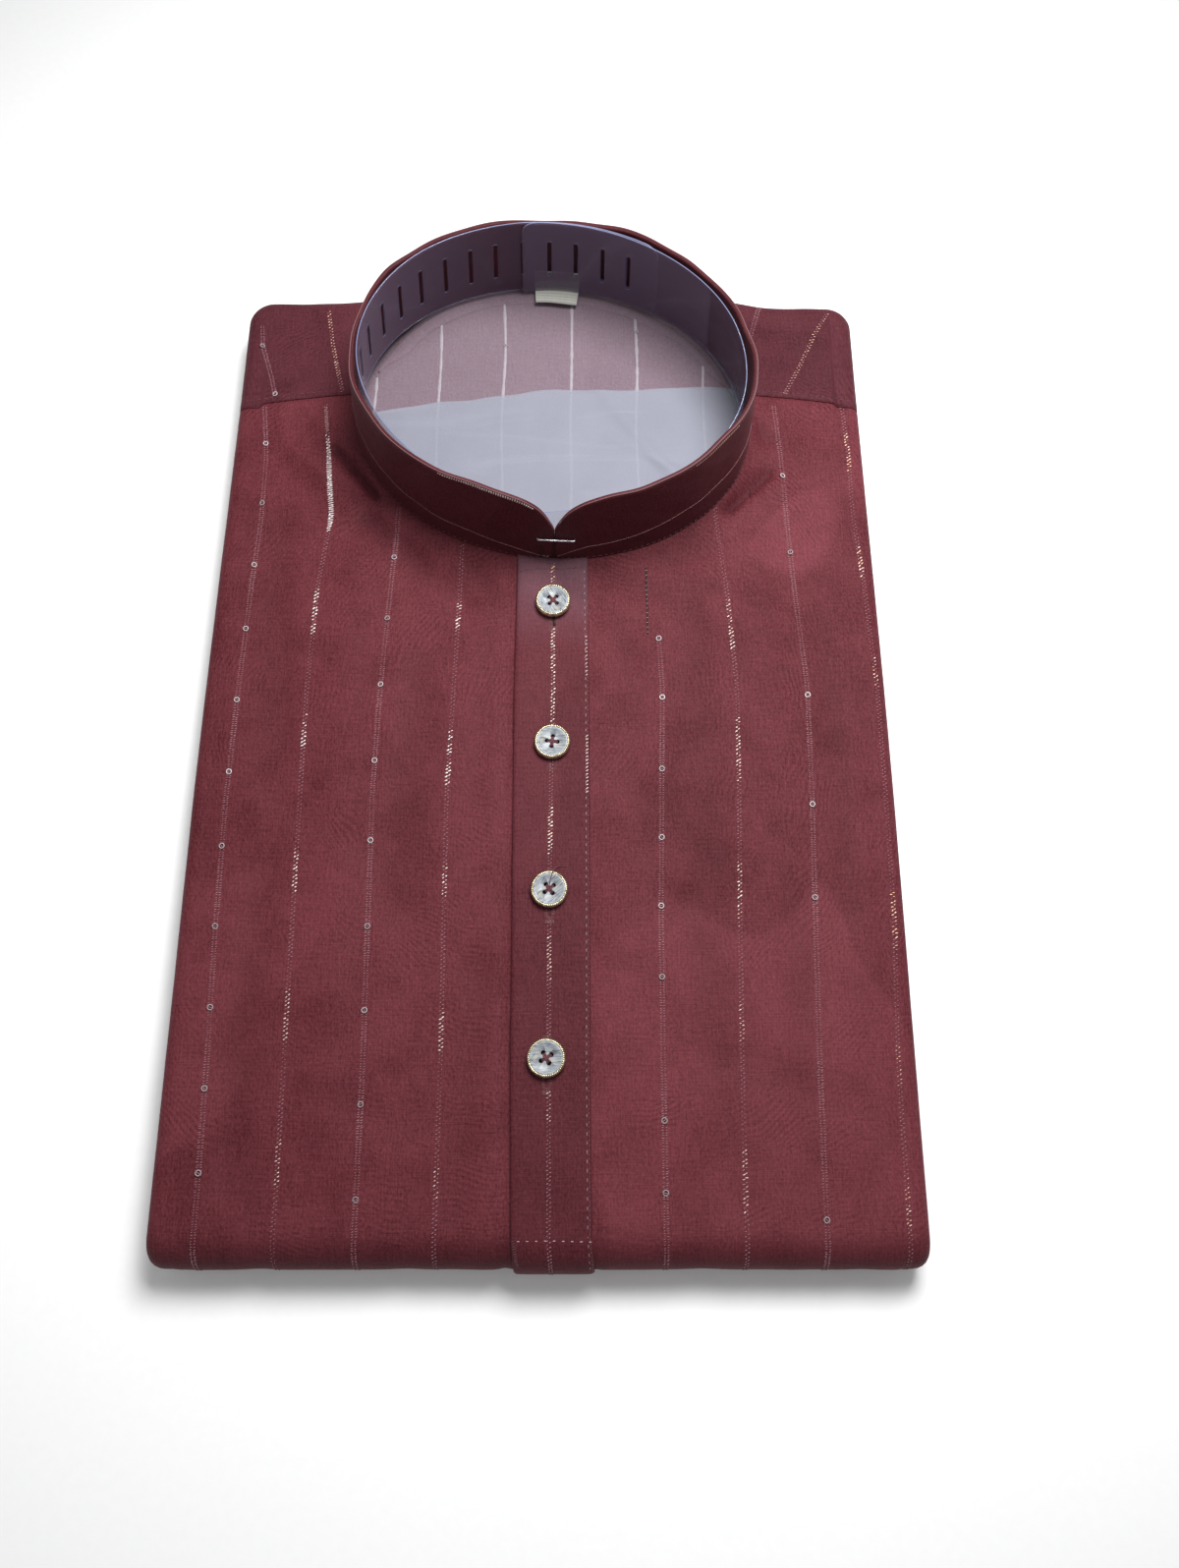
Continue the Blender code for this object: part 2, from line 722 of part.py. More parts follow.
def band_rows():
    """Outer face of the clear band: one turn and the tab that laps inside its start."""
    rows = []
    for share in (1.0, 0.5, 0.0):
        row = []
        for step in range(BAND_STEPS + 1):
            angle = BAND_START + step * BAND_STEP
            lapped = smooth((angle - BAND_LAP_FROM) / BAND_LAP_OVER)
            inset = BAND_INSET + BAND_LAP_INSET * float(lapped)
            back = math.sqrt((1.0 + math.sin(angle)) / 2)
            top = BAND_TOP_FRONT_Z + (BAND_TOP_BACK_Z - BAND_TOP_FRONT_Z) * back
            z = BAND_LOW_Z + (top - BAND_LOW_Z) * share
            level = (z - PACK_HEIGHT - NECK_RISE) / COLLAR_HEIGHT
            x, y = ring_point(angle, inset, level)
            row.append((x, y, z))
        rows.append(row)
    return rows


def label_rows():
    """The neck label: up behind the band, and out over the neck strip."""
    half_angle = LABEL_HALF_WIDTH / NECK_LONG
    foot_z = BAND_LOW_Z - LABEL_CLEAR
    steps = [(LABEL_INSET, LABEL_TOP_Z), (LABEL_INSET, (LABEL_TOP_Z + foot_z) / 2)]
    steps += [(LABEL_INSET + out, foot_z + up) for out, up in LABEL_CURVE]
    rows = []
    for inset, z in steps:
        row = []
        for share in (-1.0, -0.33, 0.33, 1.0):
            angle = LABEL_CENTRE_ANGLE - share * half_angle
            level = max(z - PACK_HEIGHT - NECK_RISE, 0.0) / COLLAR_HEIGHT
            x, y = ring_point(angle, inset, level)
            row.append((x, y, z))
        rows.append(row)
    return rows


def make_pin(collection):
    """The steel pin, a straight wire just outside the collar's face."""
    curve = bpy.data.curves.new("collar_pin", "CURVE")
    curve.dimensions = "3D"
    curve.bevel_depth = PIN_RADIUS * MM
    curve.bevel_resolution = 2
    curve.use_fill_caps = True
    spline = curve.splines.new("POLY")
    spline.points.add(1)
    for point, place in zip(spline.points, PIN_ENDS):
        point.co = (*(Vector(place) * MM), 1.0)
    wire = bpy.data.objects.new("pin_wire", curve)
    collection.objects.link(wire)
    bpy.context.view_layer.update()
    depsgraph = bpy.context.evaluated_depsgraph_get()
    mesh = bpy.data.meshes.new_from_object(wire.evaluated_get(depsgraph))
    mesh.name = "collar_pin"
    shape = bmesh.new()
    shape.from_mesh(mesh)
    bmesh.ops.remove_doubles(shape, verts=shape.verts, dist=0.001 * MM)
    shape.to_mesh(mesh)
    shape.free()
    bpy.data.objects.remove(wire)
    finish("collar_pin", mesh, collection, (0.62, 0.62, 0.64), 0.3, 1.0)


# ---------------------------------------------------------------- placket and buttons


def placket_x(y, share):
    """X at a share of the way across the placket strip."""
    left = float(np.interp(y, column(PLACKET_EDGES, 0), column(PLACKET_EDGES, 1)))
    right = float(np.interp(y, column(PLACKET_EDGES, 0), column(PLACKET_EDGES, 2)))
    return left + (right - left) * share


def placket_rows():
    """The placket strip: from the neck seam down the front and round the bottom fold."""
    angles = np.linspace(math.radians(240.0), math.radians(300.0), 241)
    oval = np.array([ring_point(float(angle)) for angle in angles])
    shares = (0.0, 0.25, 0.5, 0.75, 1.0)
    rows = []
    for down in FRONT_ROWS:
        row = []
        for share in shares:
            top_x = placket_x(PLACKET_EDGES[-1][0], share)
            start = float(np.interp(top_x, oval[:, 0], oval[:, 1])) - PLACKET_TOP_GAP
            y = start + (FOLD_Y - start) * down
            x = placket_x(y, share)
            row.append((x, y, outer_z(x, y) + PLACKET_GAP))
        rows.append(row)
    radius = MID_Z + PLACKET_GAP
    for step in range(1, PLACKET_END_STEPS + 1):
        turn = PLACKET_END_TURN * step / PLACKET_END_STEPS
        row = []
        for share in shares:
            x = placket_x(FOLD_Y, share) + PLACKET_DRIFT * math.sin(turn)
            row.append((x, FOLD_Y - radius * math.sin(turn), MID_Z + radius * math.cos(turn)))
        rows.append(row)
    return rows


def button_mesh(cutters):
    """A turned four-hole button with a raised rim."""
    mesh = bpy.data.meshes.new("button_profile")
    points = [(radius * MM, 0.0, height * MM) for radius, height in BUTTON_PROFILE]
    mesh.from_pydata(points, [(i, i + 1) for i in range(len(points) - 1)], [])
    turned = bpy.data.objects.new("button_profile", mesh)
    cutters.objects.link(turned)
    screw = turned.modifiers.new("Turn", "SCREW")
    screw.steps = 20
    screw.render_steps = 20
    screw.use_merge_vertices = True
    screw.merge_threshold = 0.00001
    holes = bmesh.new()
    for x in (-BUTTON_HOLE_STEP, BUTTON_HOLE_STEP):
        for y in (-BUTTON_HOLE_STEP, BUTTON_HOLE_STEP):
            place = Matrix.Translation(Vector((x, y, BUTTON_THICK / 2)) * MM)
            bmesh.ops.create_cone(
                holes,
                cap_ends=True,
                segments=8,
                radius1=BUTTON_HOLE_RADIUS * MM,
                radius2=BUTTON_HOLE_RADIUS * MM,
                depth=2 * BUTTON_THICK * MM,
                matrix=place,
            )
    hole_mesh = bpy.data.meshes.new("button_holes")
    holes.to_mesh(hole_mesh)
    holes.free()
    cutter = bpy.data.objects.new("button_holes", hole_mesh)
    cutter.display_type = "WIRE"
    cutter.hide_render = True
    cutters.objects.link(cutter)
    cut = turned.modifiers.new("Holes", "BOOLEAN")
    cut.object = cutter
    bpy.context.view_layer.update()
    depsgraph = bpy.context.evaluated_depsgraph_get()
    made = bpy.data.meshes.new_from_object(turned.evaluated_get(depsgraph))
    made.name = "button"
    bpy.data.objects.remove(turned)
    return made


def make_buttons(collection, cutters):
    """Four buttons along the placket."""
    mesh = button_mesh(cutters)
    for name, x, y, turn in BUTTONS:
        piece = finish(name, mesh.copy(), collection, (0.55, 0.52, 0.47), 0.35)
        rest = outer_z(x, y + BUTTON_RADIUS) + PLACKET_GAP + PLACKET_WALL + BUTTON_GAP
        piece.location = Vector((x, y, rest)) * MM
        piece.rotation_euler = (0.0, 0.0, math.radians(turn))
    bpy.data.meshes.remove(mesh)


# ---------------------------------------------------------------- the whole


def main():
    for item in list(bpy.data.objects):
        bpy.data.objects.remove(item)
    kurta = bpy.data.collections.new("kurta_tunic")
    cutters = bpy.data.collections.new("cutters")
    bpy.context.scene.collection.children.link(kurta)
    bpy.context.scene.collection.children.link(cutters)

    maroon = (0.19, 0.055, 0.07)
    sheet("front", front_rows(), CLOTH, kurta, maroon, 0.6)
    sheet("yoke", yoke_rows(), CLOTH, kurta, (0.18, 0.05, 0.065), 0.6)
    sheet("collar", collar_rows(), COLLAR_WALL, kurta, (0.09, 0.02, 0.03), 0.6)
    sheet("placket", placket_rows(), PLACKET_WALL, kurta, (0.2, 0.06, 0.075), 0.6, outward=True)
    hidden = grid_mesh("folded_layers", hidden_rows(), weld=0.002)
    finish("folded_layers", hidden, kurta, (0.12, 0.035, 0.045), 0.8)
    make_back(kurta)
    sheet("neck_strip", neck_strip_rows(), NECK_STRIP_WALL, kurta, (0.3, 0.18, 0.22), 0.8, outward=True)
    sheet("neck_label", label_rows(), LABEL_WALL, kurta, (0.75, 0.72, 0.6), 0.8)
    make_buttons(kurta, cutters)
    sheet("collar_band", band_rows(), BAND_WALL, kurta, (0.6, 0.62, 0.7), 0.15)
    sheet("packing_film", film_rows(), FILM_WALL, kurta, (0.6, 0.6, 0.68), 0.3, outward=True)
    make_pin(kurta)


main()
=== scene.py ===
"""A kurta tunic, folded for the shelf: its cloth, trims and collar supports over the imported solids.

Every size is in millimetres until a mesh is built, which turns it into metres. X runs across the
pack, Y from the bottom fold towards the shoulders, and Z up from the surface that it lies on.
"""

from __future__ import annotations

import logging
import math
from collections.abc import Callable, Sequence
from dataclasses import dataclass
from enum import Enum
from functools import cache

import bpy
import numpy as np
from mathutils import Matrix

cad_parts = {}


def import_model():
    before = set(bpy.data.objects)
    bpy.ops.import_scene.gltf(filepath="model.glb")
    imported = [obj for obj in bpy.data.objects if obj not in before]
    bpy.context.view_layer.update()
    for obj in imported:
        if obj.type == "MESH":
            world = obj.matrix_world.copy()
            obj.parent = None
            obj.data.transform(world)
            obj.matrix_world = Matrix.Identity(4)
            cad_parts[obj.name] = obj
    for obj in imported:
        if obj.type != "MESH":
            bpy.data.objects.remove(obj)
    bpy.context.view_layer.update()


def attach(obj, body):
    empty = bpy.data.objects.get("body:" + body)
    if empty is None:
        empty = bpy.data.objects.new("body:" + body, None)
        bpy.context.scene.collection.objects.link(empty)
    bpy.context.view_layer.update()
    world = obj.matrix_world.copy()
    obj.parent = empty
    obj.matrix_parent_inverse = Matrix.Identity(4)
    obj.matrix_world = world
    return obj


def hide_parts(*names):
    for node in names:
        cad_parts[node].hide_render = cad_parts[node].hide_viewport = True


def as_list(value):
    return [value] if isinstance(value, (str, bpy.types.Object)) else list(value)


LOG = logging.getLogger("kurta")
MM = 0.001
FULL_TURN = 2 * math.pi

Array = np.ndarray
Number = Array | float
Pair = tuple[Array, Array]
Shape = tuple[Array, list[Array]]
Surface = Callable[[Array, Array], Array]


# ---- small sums


def ramp(value: Number) -> Array:
    """A ramp from 0 to 1 that starts and ends level: 3v^2 - 2v^3, held at both ends."""
    held = np.clip(value, 0, 1)
    return held * held * (3 - 2 * held)


def bell(value: Number) -> Array:
    """A bell curve, 1 at 0: e to the power -v^2."""
    return np.exp(-(value**2))


def ripple(x: Array, y: Number, seed: int, size: float, waves: int = 7) -> Array:
    """An irregular swell: a sum of cosines of random heading, length and phase.

    Args:
        x: plan places across.
        y: plan places along.
        seed: seed of the waves.
        size: usual wavelength.
        waves: how many are summed.

    Returns:
        Heights with a usual size of about 0.7.
    """
    rng = np.random.default_rng(seed)
    total = np.zeros(np.broadcast(x, y).shape)
    for _ in range(waves):
        heading, phase = rng.uniform(0, FULL_TURN, 2)
        length = size * rng.uniform(0.6, 1.6)
        total += np.cos((x * math.cos(heading) + y * math.sin(heading)) * FULL_TURN / length + phase)
    return total / math.sqrt(waves)


def lengths(points: Array) -> Array:
    """Running length along a line of points, starting at 0."""
    return np.concatenate([[0.0], np.cumsum(np.linalg.norm(np.diff(points, axis=0), axis=1))])


def stack(x: Number, y: Number, z: Number) -> Array:
    """Points from their three coordinates, as the last axis."""
    return np.stack(np.broadcast_arrays(x, y, z), axis=-1).astype(float)


def pairs(u: Array, v: Array) -> Array:
    """Cloth coordinates on a grid, from the two numbers of each place."""
    return np.stack(np.broadcast_arrays(u, v), axis=-1)


def unit(vectors: Array) -> Array:
    """The same directions with a length of one."""
    return vectors / np.maximum(np.linalg.norm(vectors, axis=-1, keepdims=True), 1e-9)


# ---- the pack and its neck


@dataclass(frozen=True)
class Pack:
    """Plan and edges of the folded pack, as its solids have them."""

    height: float = 21.0
    edge_top: float = 120.8
    edge_fold: float = 123.25
    spread: float = 1.6
    fold_y: float = -174.9
    tail_y: float = 173.0
    shoulder_y: float = 178.4
    neck_rise: float = 8.45
    neck_reach: float = 92.0
    right_drop: float = 2.6
    roll: float = 5.0
    roll_at_neck: float = 2.6
    tuck: float = 6.0
    corner: float = 10.0
    parting: float = 2.6
    seam_y: float = 132.0
    seam_fall: float = 4.6
    seam_flat: float = 80.0
    underside: float = 0.35
    flat_steps: int = 4
    roll_steps: int = 10

    @property
    def mid(self) -> float:
        """Height of the middle plane between the two stacks."""
        return self.height / 2

    @property
    def half(self) -> float:
        """Radius in height of a rolled edge."""
        return (self.mid - self.parting) / 2

    @property
    def seam_end_y(self) -> float:
        """Y at which the yoke seam reaches the side folds."""
        return float(self.yoke_seam(self.side_edge(self.seam_y)))

    def side_edge(self, y: Number) -> Array:
        """Distance of the side folds from the centre line."""
        down = (self.shoulder_y - y) / (self.shoulder_y - self.fold_y)
        return self.edge_top + (self.edge_fold - self.edge_top) * ramp(self.spread * down)

    def top_edge(self, x: Number) -> Array:
        """Y of the top fold: the shoulders, and the back neck that passes them."""
        neck = self.neck_rise * (1 - ramp(np.abs(x - NECK.centre[0]) / self.neck_reach))
        return self.shoulder_y + neck - self.right_drop * ramp((x - 60) / 45)

    def yoke_seam(self, x: Number) -> Array:
        """Y of the seam between front and yoke, which falls towards the sides."""
        out = np.maximum(np.abs(x) - self.seam_flat, 0) / (self.edge_top - self.seam_flat)
        return self.seam_y - self.seam_fall * out * out

    def tightness(self, x: Array) -> Array:
        """How much tighter the top roll is behind the neck, as a share of its usual size."""
        beside = ramp((np.abs(x - NECK.centre[0]) - 30) / 60)
        return 1 - (1 - self.roll_at_neck / self.roll) * (1 - beside)

    def rim(self, sunk: float = 0.0) -> Pair:
        """Section of a rolled edge: a flat run, half a turn round, and the tuck behind it.

        Args:
            sunk: how much smaller the roll is, for cloth that is turned under.

        Returns:
            Inset from the edge, and distance from the middle plane.
        """
        flat = np.linspace(self.corner, self.roll, self.flat_steps + 1)[:-1]
        turn = np.linspace(0, math.pi, self.roll_steps + 1)
        rolled = self.roll - (self.roll - sunk) * np.sin(turn)
        inset = np.concatenate([flat, rolled, [self.roll + self.tuck]])
        rolled = self.parting + self.half + (self.half - sunk / 2) * np.cos(turn)
        return inset, np.concatenate([np.full(self.flat_steps, self.mid), rolled, [self.parting]])

    def share(self, distance: Array) -> Array:
        """How far out from the tuck a distance from the middle plane is, 1 at the face."""
        return (distance - self.parting) / (self.mid - self.parting)

    def inset(self, x: Array, y: Array) -> Array:
        """How far a plan point lies inside the rounded outline."""
        side = self.side_edge(y) - np.abs(x)
        end = (self.top_edge(x) - y) / self.tightness(x)
        into_x, into_y = self.corner - side, self.corner - end
        cornered = self.corner - np.hypot(np.maximum(into_x, 0), np.maximum(into_y, 0))
        return np.where((into_x > 0) & (into_y > 0), cornered, np.minimum(side, end))

    def drop(self, inset: Array) -> Array:
        """How far the face has fallen at an inset: a quarter of an ellipse round the roll."""
        out = np.clip(1 - inset / self.roll, 0, 1)
        return self.half * (1 - np.sqrt(1 - out * out))


@dataclass(frozen=True)
class Neck:
    """The neck seam, an oval turned a little, and the lean of the collar on it."""

    centre: tuple[float, float] = (1.5, 121.7)
    long_half: float = 76.6
    short_half: float = 61.6
    turn: float = math.radians(-8)
    rise: float = 2.7
    rise_reach: float = 10.0
    lap: float = 1.0
    taper: float = 3.3
    shift: tuple[float, float] = (1.1, -0.4)
    height: float = 36.0
    back_rise: float = 3.2
    slit: float = math.radians(-82.4)
    slit_gap: float = 0.04

    def ring(self, angle: Number, inset: Number = 0.0, level: Number = 0.0) -> Pair:
        """Plan point of the collar's oval: an ellipse, made smaller, shifted and turned.

        Args:
            angle: parameter of the ellipse, from its long axis to the right.
            inset: how far inside the outer face.
            level: 0 at the seam, 1 at the collar's full height.

        Returns:
            X and Y.
        """
        u = (self.long_half - self.taper * level - inset) * np.cos(angle)
        v = (self.short_half - self.taper * level - inset) * np.sin(angle)
        c, s = math.cos(self.turn), math.sin(self.turn)
        x = self.centre[0] + self.shift[0] * level + u * c - v * s
        y = self.centre[1] + self.shift[1] * level + u * s + v * c
        return x, y

    def polar(self, x: Array, y: Array) -> Pair:
        """Gap outside the neck seam, negative inside, and how far to the back, from -1 to 1."""
        dx, dy = x - self.centre[0], y - self.centre[1]
        c, s = math.cos(self.turn), math.sin(self.turn)
        u = (dx * c + dy * s) / self.long_half
        v = (-dx * s + dy * c) / self.short_half
        radius = np.maximum(np.hypot(u, v), 1e-6)
        return np.hypot(dx, dy) * (1 - 1 / radius), v / radius

    def speed(self, angle: float) -> float:
        """Millimetres round the oval for each radian of its parameter."""
        return math.hypot(self.long_half * math.sin(angle), self.short_half * math.cos(angle))


@dataclass(frozen=True)
class PlacketPlan:
    """Edges of the placket strip, from the bottom fold to the neck."""

    places: tuple[float, ...] = (-174.9, -128, -63, 9, 57.8)
    left: tuple[float, ...] = (-8.6, -9.6, -10.3, -11, -10.5)
    right: tuple[float, ...] = (16.9, 16.4, 16.3, 16, 15.4)
    width: float = 26.0

    def edge(self, y: Number, share: Number) -> Array:
        """X at a share of the way from the strip's left edge to its right one."""
        left = np.interp(y, self.places, self.left)
        return left + (np.interp(y, self.places, self.right) - left) * share

    def share(self, x: Array, y: Array) -> Array:
        """Share of the way across the strip at plan x and y."""
        left = self.edge(y, 0)
        return (x - left) / (self.edge(y, 1) - left)


PACK = Pack()
NECK = Neck()
PLACKET = PlacketPlan()


@dataclass(frozen=True)
class Crease:
    """A soft trough, or a ridge where its depth is negative, from one plan point to another."""

    x0: float
    y0: float
    x1: float
    y1: float
    depth: float
    half_width: float
    lean: float = 0.0

    def fall(self, x: Array, y: Array) -> Array:
        """Depth at plan points: a bell across the line, longer on one side, fading past its ends."""
        dx, dy = self.x1 - self.x0, self.y1 - self.y0
        long = math.hypot(dx, dy)
        along = np.clip(((x - self.x0) * dx + (y - self.y0) * dy) / long**2, 0, 1)
        off_x, off_y = x - self.x0 - along * dx, y - self.y0 - along * dy
        side = (off_x * dy - off_y * dx) / long
        width = self.half_width * (1 + self.lean * np.tanh(side / self.half_width))
        return self.depth * np.exp(-(off_x**2 + off_y**2) / width**2)


CREASES = tuple(Crease(*row) for row in (
    # x0, y0, x1, y1, depth, half width, lean: beside the collar
    (-81, 108.6, -64.5, 88, 3.1, 2, 0.3),
    (-98, 122, -87, 113.5, 0.5, 3.4),
    (-94, 108, -74, 82, -0.9, 5),
    (-66, 78, -48, 63, 1.3, 4, 0.4),
    (69, 82, 84, 97, 2.4, 2.5, -0.3),
    (88, 90, 100, 112, -0.8, 5),
    (80, 120, 84, 112, 1.3, 3),
    (-27, 57, -18, 46, 1, 4),
    (-46, 58, -30, 44, 0.8, 5),
    (22, 55, 40, 47, 0.9, 4),
    (44, 60, 62, 66, 0.9, 5),
    # long soft folds of the front
    (-101, 74, -93, -14, 0.9, 7, 0.4),
    (-70, 60, -74, 8, -0.6, 7),
    (-45, 20, -52, -66, 0.8, 8, -0.4),
    (-72, -20, -68, -150, -0.7, 8),
    (-96, -60, -99, -160, 0.7, 6),
    (-20, 30, -24, -30, 0.5, 5),
    (-20, -90, -26, -168, 0.7, 6, 0.3),
    (54, 44, 60, -50, 0.8, 8, 0.4),
    (78, 60, 82, -20, -0.7, 7),
    (30, 30, 33, -36, 0.5, 5),
    (30, -40, 27, -128, -0.6, 7),
    (52, -70, 66, -164, 0.8, 8, -0.4),
    (84, -60, 88, -170, 0.6, 6),
    (102, 34, 105, -70, 0.8, 5, 0.5),
    (-118, 20, -116, -60, 0.6, 4),
    # slanting drags across it
    (-110, -20, -60, -52, 0.35, 5),
    (-88, 28, -40, 8, 0.3, 5),
    (24, -20, 62, -52, 0.45, 5),
    (62, -52, 30, -92, 0.35, 4),
    (70, 20, 112, 4, 0.35, 5),
    (60, -118, 112, -140, 0.35, 6),
    (-104, -120, -40, -142, 0.35, 6),
    # along the bottom fold
    (-92, -158, -88, -176, 0.6, 5),
    (-38, -160, -42, -176, 0.5, 5),
    (48, -158, 52, -176, 0.6, 5),
    (104, -156, 101, -176, 0.6, 5),
    # the yoke
    (-100, 172, -84, 150, 0.7, 7),
    (86, 176, 96, 150, 0.7, 7),
    (104, 172, 112, 146, -0.5, 6),
    # pulls beside the buttons
    (9, -66, 13.5, -72, 0.6, 2.2),
    (9, -9, 12.5, -4, 0.3, 2),
    (-4, -122, -7, -128, 0.25, 2),
))


@dataclass(frozen=True)
class Lie:
    """How the outer cloth lies over the pack."""

    swell: float = 0.16
    fine_swell: float = 0.05
    layer_edge: float = 112.0
    layer_step: float = 0.45
    groove_depth: float = 1.15
    groove_half: float = 2.0
    pucker_pitch: float = 2.75
    pucker_depth: float = 0.3
    deepest: float = 3.2

    def relief(self, x: Array, y: Array) -> Array:
        """Small ups and downs: swell, creases, the edge of a layer below, and the placket's groove."""
        total = self.swell * ripple(x, y, 3, 70) + self.fine_swell * ripple(x, y, 8, 17, 11)
        for crease in CREASES:
            total = total - crease.fall(x, y)
        beyond = ramp((x - self.layer_edge + 0.012 * (y + 90)) / 2.6) * ramp((10 - y) / 40)
        total = total - self.layer_step * beyond
        groove = bell((x - PLACKET.edge(y, 0) + self.groove_half) / self.groove_half)
        groove += 0.45 * bell(x - PLACKET.edge(y, 1) - 0.8)
        return total - self.groove_depth * groove * ramp((62 - y) / 6)

    def painted_shade(self, x: Array, y: Array) -> Array:
        """How deep in a trough plan points lie, from 0 outside the creases to 1 in the deepest: the share of
        painted shade that darkens the troughs.
        """
        return np.clip(sum(np.maximum(crease.fall(x, y), 0) for crease in CREASES) / self.deepest, 0, 1)

    def seam_relief(self, x: Array, y: Array, above: bool) -> Array:
        """Puckers of the yoke seam: short ridges across it that fade within a few millimetres.

        Args:
            x: plan places across.
            y: plan places along.
            above: whether this is the yoke's side of the seam, which stands a little higher.
        """
        off = np.abs(y - PACK.yoke_seam(x))
        wander = 0.8 * np.sin(x * 0.31) + 0.5 * np.sin(x * 0.13 + 2)
        ticks = 0.5 + 0.5 * np.cos(FULL_TURN * (x + wander) / self.pucker_pitch)
        if above:
            return 0.4 * bell((off - 1.4) / 1.7) - self.pucker_depth * ticks * bell(off / 3.4)
        return -0.35 * bell(off / 1.5) - 0.12 * ticks * bell(off / 1.6)

    def outer(self, x: Array, y: Array) -> Array:
        """Height of the outer face before the rolled edges: it lifts towards the collar."""
        gap, _ = NECK.polar(x, y)
        rise = NECK.rise * np.exp(-np.maximum(gap, 0) / NECK.rise_reach)
        calm = ramp((gap - 0.5) / 3.5)
        return PACK.height + rise + self.relief(x, y) * (0.25 + 0.75 * calm)

    def yoke(self, x: Array, y: Array) -> Array:
        """A point of the pack's upper face at plan x and y, its rolled edges included."""
        above = y > PACK.yoke_seam(x)
        seam = np.where(above, self.seam_relief(x, y, True), self.seam_relief(x, y, False))
        return stack(x, y, self.outer(x, y) + seam - PACK.drop(PACK.inset(x, y)))

    def front(self, x: Array, t: Array) -> Array:
        """A point of the front, past whose fold the height follows a half circle.

        That circle's radius runs from the face above to the face below; then comes the flat
        underside.

        Args:
            x: place across.
            t: millimetres up from the bottom fold, or down round it if negative.
        """
        x, t = np.broadcast_arrays(np.asarray(x, float), np.asarray(t, float))
        turn = np.clip(-t / PACK.mid, 0, math.pi)
        y_top = PACK.fold_y + np.maximum(t, 0)
        up = self.outer(x, y_top) + self.seam_relief(x, y_top, False) - PACK.mid
        down = PACK.mid - PACK.underside
        radius = up + (down - up) * turn / math.pi - PACK.drop(PACK.edge_fold - np.abs(x))
        y = y_top - radius * np.sin(turn) + np.maximum(-t - math.pi * PACK.mid, 0)
        return stack(x, y, PACK.mid + radius * np.cos(turn))


LIE = Lie()


# ---- meshes


def grid_faces(rows: int, columns: int, round_rows: bool = False, round_columns: bool = False) -> Array:
    """Four-sided faces of a grid of points, numbered row by row.

    Args:
        rows: rows of points.
        columns: points in a row.
        round_rows: the last row joins the first.
        round_columns: the last column joins the first.

    Returns:
        Point numbers, four to a face.
    """
    i = np.arange(rows if round_rows else rows - 1)[:, None]
    j = np.arange(columns if round_columns else columns - 1)[None, :]
    after_i, after_j = (i + 1) % rows, (j + 1) % columns
    corners = [i * columns + j, after_i * columns + j, after_i * columns + after_j, i * columns + after_j]
    return np.stack(np.broadcast_arrays(*corners), axis=-1).reshape(-1, 4)


def fan(middle: int, ring: Array) -> Array:
    """Three-sided faces from a middle point to each side of a ring of points."""
    return np.stack([np.full(len(ring), middle), ring, np.roll(ring, -1)], axis=1)


def as_grid(points: Array, flipped: bool = False) -> Shape:
    """A grid of points as a shape, its faces turned over if flipped."""
    faces = grid_faces(*points.shape[:2])
    return points, [faces[:, ::-1] if flipped else faces]


def build(name: str, shape: Shape, *finishes: Finish, uv: Array | None = None, wall: float = 0.0,
          **values: Array) -> bpy.types.Object:
    """A mesh object from arrays of millimetres.

    Args:
        name: the piece's name.
        shape: places of its points, and arrays of faces, each with one count of corners.
        *finishes: its finishes, in the order of its material slots.
        uv: one pair of cloth coordinates a point.
        wall: thickness of the wall behind the faces, or 0 for a closed shape.
        **values: numbers kept on the points, by name.

    Returns:
        The object, at the origin.
    """
    points, faces = shape
    mesh = bpy.data.meshes.new(name)
    flat = np.ascontiguousarray(points.reshape(-1, 3) * MM, np.float32)
    mesh.vertices.add(len(flat))
    mesh.vertices.foreach_set("co", flat.ravel())
    corners = np.concatenate([part.ravel() for part in faces]).astype(np.int32)
    counts = np.concatenate([np.full(len(part), part.shape[1]) for part in faces])
    mesh.loops.add(len(corners))
    mesh.loops.foreach_set("vertex_index", corners)
    mesh.polygons.add(len(counts))
    mesh.polygons.foreach_set("loop_start", (np.cumsum(counts) - counts).astype(np.int32))
    mesh.polygons.foreach_set("use_smooth", np.ones(len(counts), bool))
    if uv is not None:
        layer = mesh.uv_layers.new(name="cloth")
        layer.data.foreach_set("uv", (uv.reshape(-1, 2)[corners] * MM).astype(np.float32).ravel())
    for key, numbers in values.items():
        attribute = mesh.attributes.new(key, "FLOAT", "POINT")
        attribute.data.foreach_set("value", np.asarray(numbers, np.float32).ravel())
    mesh.update(calc_edges=True)
    mesh.validate()
    piece = bpy.data.objects.new(name, mesh)
    bpy.context.scene.collection.objects.link(piece)
    if wall:
        modifier = piece.modifiers.new("Wall", "SOLIDIFY")
        modifier.thickness, modifier.offset, modifier.use_quality_normals = wall * MM, -1.0, True
    for finish in finishes:
        mesh.materials.append(material_of(finish))
    return piece


